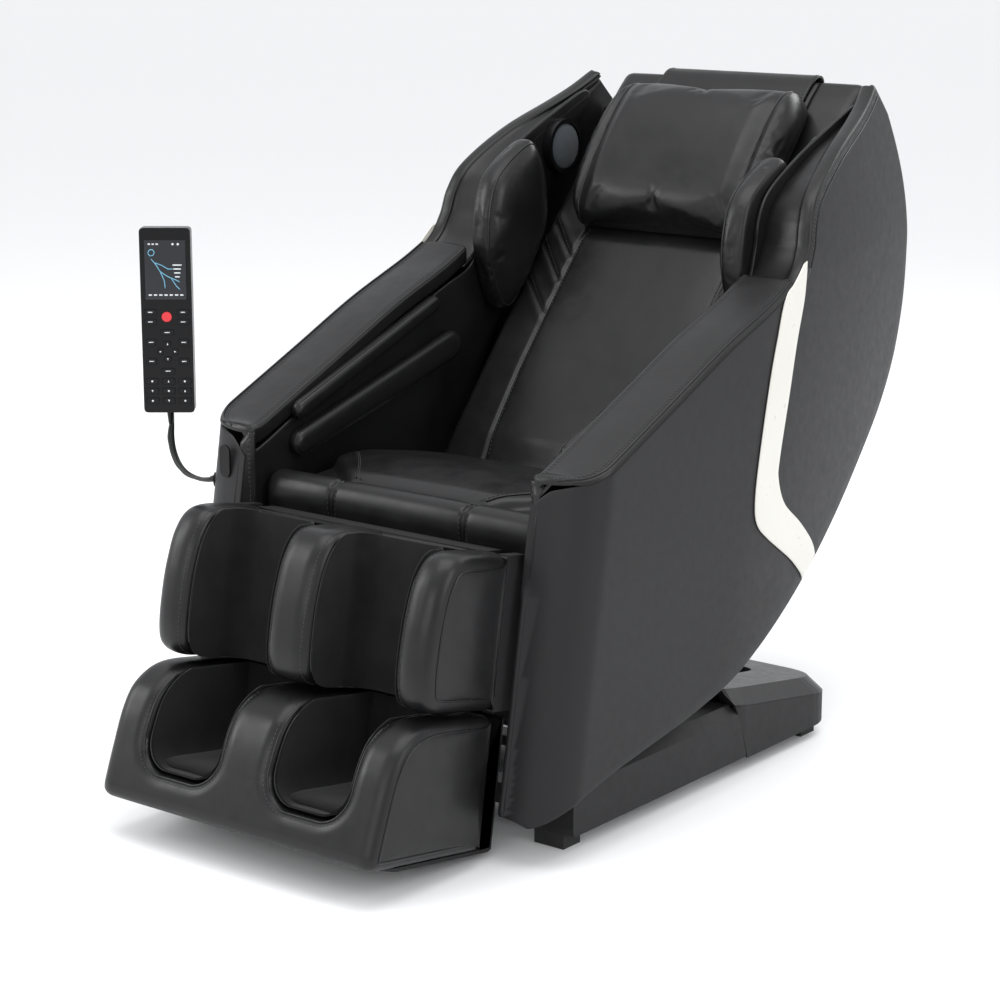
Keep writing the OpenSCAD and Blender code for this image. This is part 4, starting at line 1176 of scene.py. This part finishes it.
def corner_panel(name):
    """Leather front of the arm: rows from the shell's front edge to the liner, bulged 3 mm by a sine."""
    z = np.linspace(404, 534, 50)[:, None]
    y = np.interp(z, [380, 478, 518, 530, 540], [-388, -371, -362, -352, -350])
    k = np.linspace(0, 1, 14)[None]
    x = 281.5 + (262.4 - 281.5) * k + 0 * z
    depth = (y - 0.8) * (1 - k) + (-355.5 + 0 * z) * k - 3.0 * np.sin(np.pi * k)
    outer = np.stack([x, depth, z + 0 * k], -1)
    return thick_sheet(name, outer, outer + [0, 3.2, 0])


def u_on_front(points, grow, count=150):
    """Line on a leg unit's front round a foot well, grow mm outside it."""
    u = u_path(WELL[0] - grow, WELL[1] + grow, -196, WELL_LIP - grow, WELL_CORNER + grow, count)
    return leg_point(u[:, 0], front_at(points, u[:, 1]), u[:, 1])


def flat_print(name, shapes, y=-11.35, thick=0.35):
    """Printed marks: closed thin plates on the handset's face. Each shape is a closed outline in (x, z)."""
    parts = []
    for outline in shapes:
        p = np.asarray(outline, float)
        rings = [handset_point(p[:, 0], np.full(len(p), yy), p[:, 1]) for yy in (y + thick, y)]
        parts.append(skin(name + "_part", np.array(rings)))
    return join(name, parts)


def bar(x, z, w, h):
    return [(x - w / 2, z - h / 2), (x + w / 2, z - h / 2), (x + w / 2, z + h / 2), (x - w / 2, z + h / 2)]


def disc(x, z, r, count=20):
    a = np.linspace(0, 2 * np.pi, count, endpoint=False)
    return np.stack([x + r * np.cos(a), z + r * np.sin(a)], -1)


def arrow(x, z, size, turn):
    a = math.radians(turn) + np.array([0, 2.4, -2.4])
    return np.stack([x + size * np.cos(a), z + size * np.sin(a)], -1)


def mark_lines(name, lines, radius=0.45, y=-11.2):
    """Drawn marks: thin beads on the handset's face along (x, z) lines."""
    parts = []
    for line in lines:
        p = even(np.asarray(line, float), max(6, 4 * len(line)))
        parts.append(bead(name + "_part", handset_point(p[:, 0], np.full(len(p), y), p[:, 1]), radius))
    return join(name, parts)


# ---------------------------------------------------------------- operators

class ChairOperator(bpy.types.Operator):
    """Shared base of the chair's operators."""
    bl_options = {"REGISTER", "UNDO"}

    @property
    def sizes(self):
        return bpy.context.scene.chair_sizes

    @property
    def colours(self):
        return bpy.context.scene.chair_colours


def piping(name, paths, body="rocker", finish="piping", radius=None, closed=False):
    """One piece of several runs of piping."""
    r = radius or bpy.context.scene.chair_sizes.piping / MM
    return place(join(name, [bead(name + "_part", p, r, closed) for p in paths]), finish, body)


def sewing(name, paths, body="rocker", finish="dark_thread"):
    """One piece of several rows of stitches."""
    s = bpy.context.scene.chair_sizes
    return place(stitches(name, paths, s.stitch / MM, s.thread / MM), finish, body)


class CHAIR_OT_stage(ChairOperator):
    """Camera, pale floor, world light and soft lamps."""
    bl_idname = "chair.stage"
    bl_label = "Stage"

    def execute(self, context):
        scene = context.scene
        az, el = (math.radians(a) for a in CAMERA_TURN)
        view = Vector((-math.sin(az) * math.cos(el), math.cos(az) * math.cos(el), -math.sin(el)))
        cam = bpy.data.objects.new("studio_camera", bpy.data.cameras.new("studio_camera"))
        cam.data.lens, cam.data.sensor_width = 93.6, 36.0
        cam.data.clip_end = 400.0
        cam.location = (2.3825, -3.1391, 1.334)
        cam.rotation_euler = view.to_track_quat("-Z", "Y").to_euler()
        scene.collection.objects.link(cam)
        scene.camera = cam
        half = 90000.0
        line = np.linspace(-half, half, 9)
        grid = np.stack(np.meshgrid(line, line, indexing="ij") + [np.zeros((9, 9))], -1)
        i, j = np.meshgrid(np.arange(8), np.arange(8), indexing="ij")
        quads = np.stack([i * 9 + j, (i + 1) * 9 + j, (i + 1) * 9 + j + 1, i * 9 + j + 1], -1).reshape(-1, 4)
        floor = new_mesh("studio_floor", grid, [quads])
        f = Finish("studio_floor", self.colours.floor, 0.55, Specular_IOR_Level=0.25)
        f.bump(f.noise(40.0, 3.0), 0.02, 0.0005)
        floor.data.materials.append(f.mat)
        world = bpy.data.worlds.new("studio_world")
        world.use_nodes = True
        back = world.node_tree.nodes["Background"]
        back.inputs["Color"].default_value = (0.97, 0.98, 1.0, 1)
        back.inputs["Strength"].default_value = 0.98
        scene.world = world
        scene.view_settings.view_transform = "Standard"
        for name, spot, aim, power, width, height in (
                ("overhead_soft", (0.2, -0.5, 3.4), (0, 0, 0.5), 62, 3.0, 2.4),
                ("left_soft", (-3.2, -2.4, 2.2), (0, 0, 0.6), 60, 1.6, 2.2),
                ("right_soft", (3.4, -0.6, 2.0), (0.3, 0, 0.5), 34, 1.4, 2.2),
                ("front_soft", (0.4, -4.4, 1.9), (0, -0.4, 0.4), 26, 2.4, 1.2),
                ("rear_soft", (0.8, 3.2, 2.6), (0, 0.4, 0.8), 40, 2.4, 1.2)):
            light = bpy.data.lights.new(name, "AREA")
            light.shape = "RECTANGLE"
            light.size, light.size_y, light.energy = width, height, power
            lamp = bpy.data.objects.new(name, light)
            lamp.location = spot
            lamp.rotation_euler = (Vector(aim) - Vector(spot)).to_track_quat("-Z", "Y").to_euler()
            scene.collection.objects.link(lamp)
        return {"FINISHED"}


class CHAIR_OT_cord(ChairOperator):
    """The handset's free cord, at its real length."""
    bl_idname = "chair.cord"
    bl_label = "Handset cord"

    def execute(self, context):
        route = np.array(CORD, float)
        path = curve(route, np.linspace(0, 1, 151))
        radius = self.sizes.cord_radius / MM
        rings = bead_rings(path, radius, sides=16)
        mid = rings.mean(1, keepdims=True)
        rings[[0, -1]] = mid[[0, -1]] + (rings[[0, -1]] - mid[[0, -1]]) / 0.3
        cord = skin("handset_cord_tube", rings)
        place(cord, "cord_rubber", replaces=("handset_cord",))
        return {"FINISHED"}


class CHAIR_OT_finishes(ChairOperator):
    """Every frame piece's own finish, by the record's slots."""
    bl_idname = "chair.finishes"
    bl_label = "Finishes of the frame"

    def execute(self, context):
        for part in frame["record"]["subparts"]:
            obj = frame["nodes"][part["node"]]
            obj.data.materials.clear()
            obj.data.materials.append(FINISH[part["material_slot"]])
        return {"FINISHED"}


class CHAIR_OT_shells(ChairOperator):
    """Side shells, light strips and the rear wall."""
    bl_idname = "chair.shells"
    bl_label = "Shells"

    def execute(self, context):
        pair(shell_sheet, "side_shell_skin", "shell", replaces="side_shell")
        pair(strip_sheet, "accent_strip_skin", "light_trim", replaces="accent_strip")
        place(rear_sheet("rear_wall_skin"), "shell", replaces=("back_rear_cover",))
        return {"FINISHED"}


class CHAIR_OT_rims(ChairOperator):
    """Armrest pads and the leather rims above them, with piping and double stitching."""
    bl_idname = "chair.rims"
    bl_label = "Armrests and rims"

    def execute(self, context):
        right, left = pair(armrest, "armrest_leather", "leather", replaces="armrest_pad", fill=0.7)
        high, low = pair(rim, "rim_leather", "leather")
        t = np.linspace(0.05, 0.97, 150)
        p = curve(ARM_LINE, t)
        x = np.maximum(shell_x(p[:, 0], p[:, 1]), 283)
        runs, rolls = [], []
        for side, pad, band in ((1, right, high), (-1, left, low)):
            for across in (x - 11.0, x - 15.0, 0 * x + 272.5, 0 * x + 276.5):
                runs.append(snapped(pad, np.stack([side * across, p[:, 0], p[:, 1] + 5], -1), 0.25))
            rolls.append(snapped(pad, np.stack([side * (x - 5.0), p[:, 0], p[:, 1] + 4.2], -1), 0.5))
            for down in (4.5, 8.5):
                runs.append(snapped(band, rim_line(side, 2, down), 0.25))
            rolls.append(rim_line(side, 1.6, 15.2))
        z = np.linspace(410, 530, 60)
        panels = pair(corner_panel, "arm_front_leather", "leather")
        for side, panel in zip((1, -1), panels):
            for x_at in (264.6, 268.0):
                row = np.stack([0 * z + side * x_at, 0 * z - 362, z], -1)
                runs.append(snapped(panel, row, 0.25))
        piping("rim_piping", rolls)
        sewing("rim_stitching", runs)
        return {"FINISHED"}


class CHAIR_OT_side_walls(ChairOperator):
    """Inner side walls and the air pads on them."""
    bl_idname = "chair.side_walls"
    bl_label = "Side walls"

    def execute(self, context):
        pair(liner, "side_liner_leather", "leather", replaces="side_liner")
        pair(arm_pads, "arm_air_pad_leather", "leather", replaces="arm_air_pads", fill=0.6)
        piping("arm_pad_piping", arm_pad_seams(1) + arm_pad_seams(-1), radius=1.2, closed=True)
        return {"FINISHED"}


class CHAIR_OT_wings(ChairOperator):
    """Shoulder wings, swollen by simulation, and the speakers' cloth."""
    bl_idname = "chair.wings"
    bl_label = "Shoulder wings"

    def execute(self, context):
        right, left = pair(wing, "shoulder_wing_leather", "leather", replaces="shoulder_wing", fill=0.7)
        seams = [snapped(obj, wing_seam(side), 0.5) for obj, side in ((right, 1), (left, -1))]
        piping("wing_piping", seams, closed=True)
        pair(speaker_cloth, "speaker_cloth", "mesh")
        return {"FINISHED"}


class CHAIR_OT_seat(ChairOperator):
    """Seat pad and the roll across its front."""
    bl_idname = "chair.seat"
    bl_label = "Seat"

    def execute(self, context):
        seat = place(seat_pad("seat_pad_leather"), "seat_leather", replaces=("seat_pad",), fill=0.7)
        subdivide(seat)
        roll = place(front_roll("front_roll_leather"), "leather", replaces=("seat_front_skirt",), fill=0.6)
        subdivide(roll)
        edges, seams = [], []
        for side in (-1, 1):
            for inset, rows in ((2.0, edges), (8.0, seams), (11.5, seams)):
                a, b = np.array([125 - inset, -290.0]), np.array([226 - inset, -171.0])
                k = np.linspace(0, 1, 60)[:, None]
                q = a * (1 - k) + b * k
                q[:, 0] -= 5 * np.sin(np.pi * k[:, 0])
                rows.append(snapped(seat, np.stack([side * q[:, 0], q[:, 1], np.full(60, 482.0)], -1), 0.5))
            for at in (117.5, 132.5):
                z = np.linspace(410, 470, 26)
                y = np.interp(z, [410, 452, 466, 470], [-334, -337, -328, -316])
                seams.append(snapped(roll, np.stack([np.full(26, side * at), y, z], -1), 0.3))
        piping("seat_piping", edges)
        sewing("seat_stitching", seams)
        return {"FINISHED"}


class CHAIR_OT_back(ChairOperator):
    """Back pad with its seams, neck pillow and strap."""
    bl_idname = "chair.back"
    bl_label = "Back"

    def execute(self, context):
        pad = place(back_pad("back_pad_leather"), "seat_leather", replaces=("back_pad",), fill=0.6)
        subdivide(pad)
        cushion = place(pillow("neck_pillow_leather"), "leather", replaces=("neck_pillow",), fill=0.8)
        band = place(strap("pillow_strap_leather"), "leather", replaces=("pillow_strap",))
        rows = []
        bz = np.linspace(20, 452, 150)
        for side in (-1, 1):
            a = SEAM_X - 6 * smooth((200 - bz) / 200)
            for shift in (-4.6, 4.6):
                rows.append(snapped(pad, back_point(side * (a + shift), np.full(150, -8.0), bz), 0.2))
            for (x0, z0), (x1, z1) in CHEVRONS:
                d = unit(np.array([x1 - x0, z1 - z0], float))
                n = np.array([-d[1], d[0]])
                for shift in (-4.4, 4.4):
                    q = np.array([x0, z0]) + n * shift + np.linspace(2, 106, 44)[:, None] * d
                    q = q[q[:, 0] > SEAM_X + 3]
                    rows.append(snapped(pad, back_point(side * q[:, 0], np.full(len(q), -8.0), q[:, 1]), 0.2))
        sewing("back_stitching", rows)
        piping("pillow_piping", [snapped(cushion, p, 0.4) for p in pillow_seams()])
        edge = []
        for side in (-1, 1):
            for inset in (4.0, 7.5):
                line = curve([(-5.5, 724), (-3, 745), (-0.8, 768), (4, 786), (13.5, 797), (26, 796)],
                             np.linspace(0.02, 1, 60))
                row = back_point(side * (147.5 - inset), line[:, 0] - 2, line[:, 1] + 1)
                edge.append(snapped(band, row, 0.25))
        sewing("strap_stitching", edge)
        return {"FINISHED"}


class CHAIR_OT_leg_rest(ChairOperator):
    """Calf and foot units: leather, linings, piping and seams."""
    bl_idname = "chair.leg_rest"
    bl_label = "Leg rest"

    def execute(self, context):
        calf, calf_frame = leg_unit("calf_leather", CALF, 240, 250, 30, 23, channel, 26, 15, -58)
        place(calf, "leather", "legrest", replaces=("calf_bolsters",), fill=0.7)
        foot, foot_frame = leg_unit("foot_leather", FOOT, 300, 250, 24, 16, foot_hole, 22, 13, -26)
        place(foot, "leather", "footrest", replaces=("foot_bolsters",), fill=0.7)
        for side, end in ((1, "right"), (-1, "left")):
            for make, name, body in ((calf_lining, "calf_lining_", "legrest"),
                                     (foot_lining, "foot_lining_", "footrest"),
                                     (sole_pad, "sole_pad_", "footrest")):
                obj = make(name + end)
                if side < 0:
                    twin = mirrored(obj, name + "copy")
                    bpy.data.objects.remove(obj)
                    obj = twin
                    obj.name = name + end
                place(obj, "lining", body)
        place(tray("foot_tray_moulding"), "base_plastic", "footrest", replaces=("foot_tray",))
        calf_seams, foot_seams, calf_pipes, foot_pipes = [], [], [], []
        for side in (-1, 1):
            for at, rows, back in ((40.5, calf_pipes, 13.5), (197.5, calf_pipes, 13.5), (30, calf_seams, 2),
                                   (208, calf_seams, 2), (258.5, calf_pipes, 22.0)):
                rows.append(snapped(calf, leg_line(calf_frame, side * at, back, (30, 214)), 0.4))
            for grow, rows in ((1.0, foot_pipes), (10.0, foot_seams)):
                path = u_on_front(FOOT, grow)
                path[:, 0] *= side
                rows.append(snapped(foot, path, 0.4))
            foot_pipes.append(snapped(foot, leg_line(foot_frame, side * 258.5, 15.5, (14, 286)), 0.4))
        piping("calf_piping", calf_pipes, "legrest")
        piping("foot_piping", foot_pipes, "footrest")
        sewing("calf_stitching", calf_seams, "legrest")
        sewing("foot_stitching", foot_seams, "footrest")
        return {"FINISHED"}


class CHAIR_OT_handset(ChairOperator):
    """The handset's screen and printed marks."""
    bl_idname = "chair.handset"
    bl_label = "Handset"

    def execute(self, context):
        x, z = np.meshgrid(np.linspace(-31.6, 31.6, 24), np.linspace(33.4, 123.6, 30), indexing="ij")
        outer = handset_point(x, np.full_like(x, -11.05), z)
        inner = handset_point(x, np.full_like(x, -10.2), z)
        place(thick_sheet("handset_screen", outer, inner), "glass")
        figure = [[(-22, 96), (-15, 88), (-8, 76), (4, 68), (14, 64), (22, 60)],
                  [(-8, 76), (-2, 62), (-1, 50)], [(8, 67), (16, 54), (22, 48)],
                  [(-26, 104), (-24, 109), (-19, 110), (-16, 106), (-18, 101), (-23, 100), (-26, 104)],
                  [(-17, 90), (-6, 86), (4, 80), (12, 80)]]
        place(mark_lines("screen_figure", figure, 0.75, -11.35), "blue_print")
        status = [bar(-24 + 6.0 * k, 118, 3.6, 2.2) for k in range(3)]
        status += [disc(12, 118, 1.8), disc(20, 118, 1.8)]
        status += [bar(18, 86 - 6 * k, 14 - 2.2 * k, 2.0) for k in range(4)]
        status += [bar(-24 + 8 * k, 40, 5.0, 2.2) for k in range(7)]
        place(flat_print("screen_marks", status), "print")
        menu = [bar(x, z, 7, 1.3) for x in (-25, 25) for z in (13.6, -1.4, -33, -62.6)]
        menu += [bar(0, z, 8, 1.3) for z in (-17.7, -77.8)]
        menu += [arrow(x, z, 1.9, turn) for x, z, turn in ((0, -35.7, 90), (-11.5, -47.6, 180),
                                                           (11.5, -47.6, 0), (0, -59.2, -90))]
        place(flat_print("menu_key_marks", menu, -12.6), "print", "handset_menu_keys")
        pads = [(x, z) for z in (-93.8, -109, -124.3) for x in (-25, 0, 25)]
        numbers = [arrow(x, z, 2.2, 90 * k) if k % 2 else disc(x, z, 1.6) for k, (x, z) in enumerate(pads)]
        place(flat_print("number_key_marks", numbers, -12.6), "print", "handset_keypad")
        return {"FINISHED"}


STEPS = (CHAIR_OT_stage, CHAIR_OT_cord, CHAIR_OT_finishes, CHAIR_OT_shells, CHAIR_OT_rims, CHAIR_OT_side_walls,
         CHAIR_OT_wings, CHAIR_OT_seat, CHAIR_OT_back, CHAIR_OT_leg_rest, CHAIR_OT_handset)


class CHAIR_PT_steps(bpy.types.Panel):
    """Lists the chair's sizes, colours and operators."""
    bl_idname = "CHAIR_PT_steps"
    bl_label = "Massage chair"
    bl_space_type = "VIEW_3D"
    bl_region_type = "UI"
    bl_category = "Chair"

    def draw(self, context):
        for group in (context.scene.chair_sizes, context.scene.chair_colours):
            box = self.layout.box()
            for key in group.__annotations__:
                box.prop(group, key)
        for step in STEPS:
            self.layout.operator(step.bl_idname)


CLASSES = (ChairSizes, ChairColours, *STEPS, CHAIR_PT_steps)


def register():
    for cls in CLASSES:
        bpy.utils.register_class(cls)
    bpy.types.Scene.chair_sizes = bpy.props.PointerProperty(type=ChairSizes)
    bpy.types.Scene.chair_colours = bpy.props.PointerProperty(type=ChairColours)


def unregister():
    del bpy.types.Scene.chair_colours
    del bpy.types.Scene.chair_sizes
    for cls in reversed(CLASSES):
        bpy.utils.unregister_class(cls)


def main():
    register()
    FINISH.update(make_finishes(bpy.context.scene.chair_colours))
    for step in STEPS:
        group, name = step.bl_idname.split(".")
        getattr(getattr(bpy.ops, group), name)()
    bpy.context.view_layer.update()


if __name__ == "__main__":
    main()
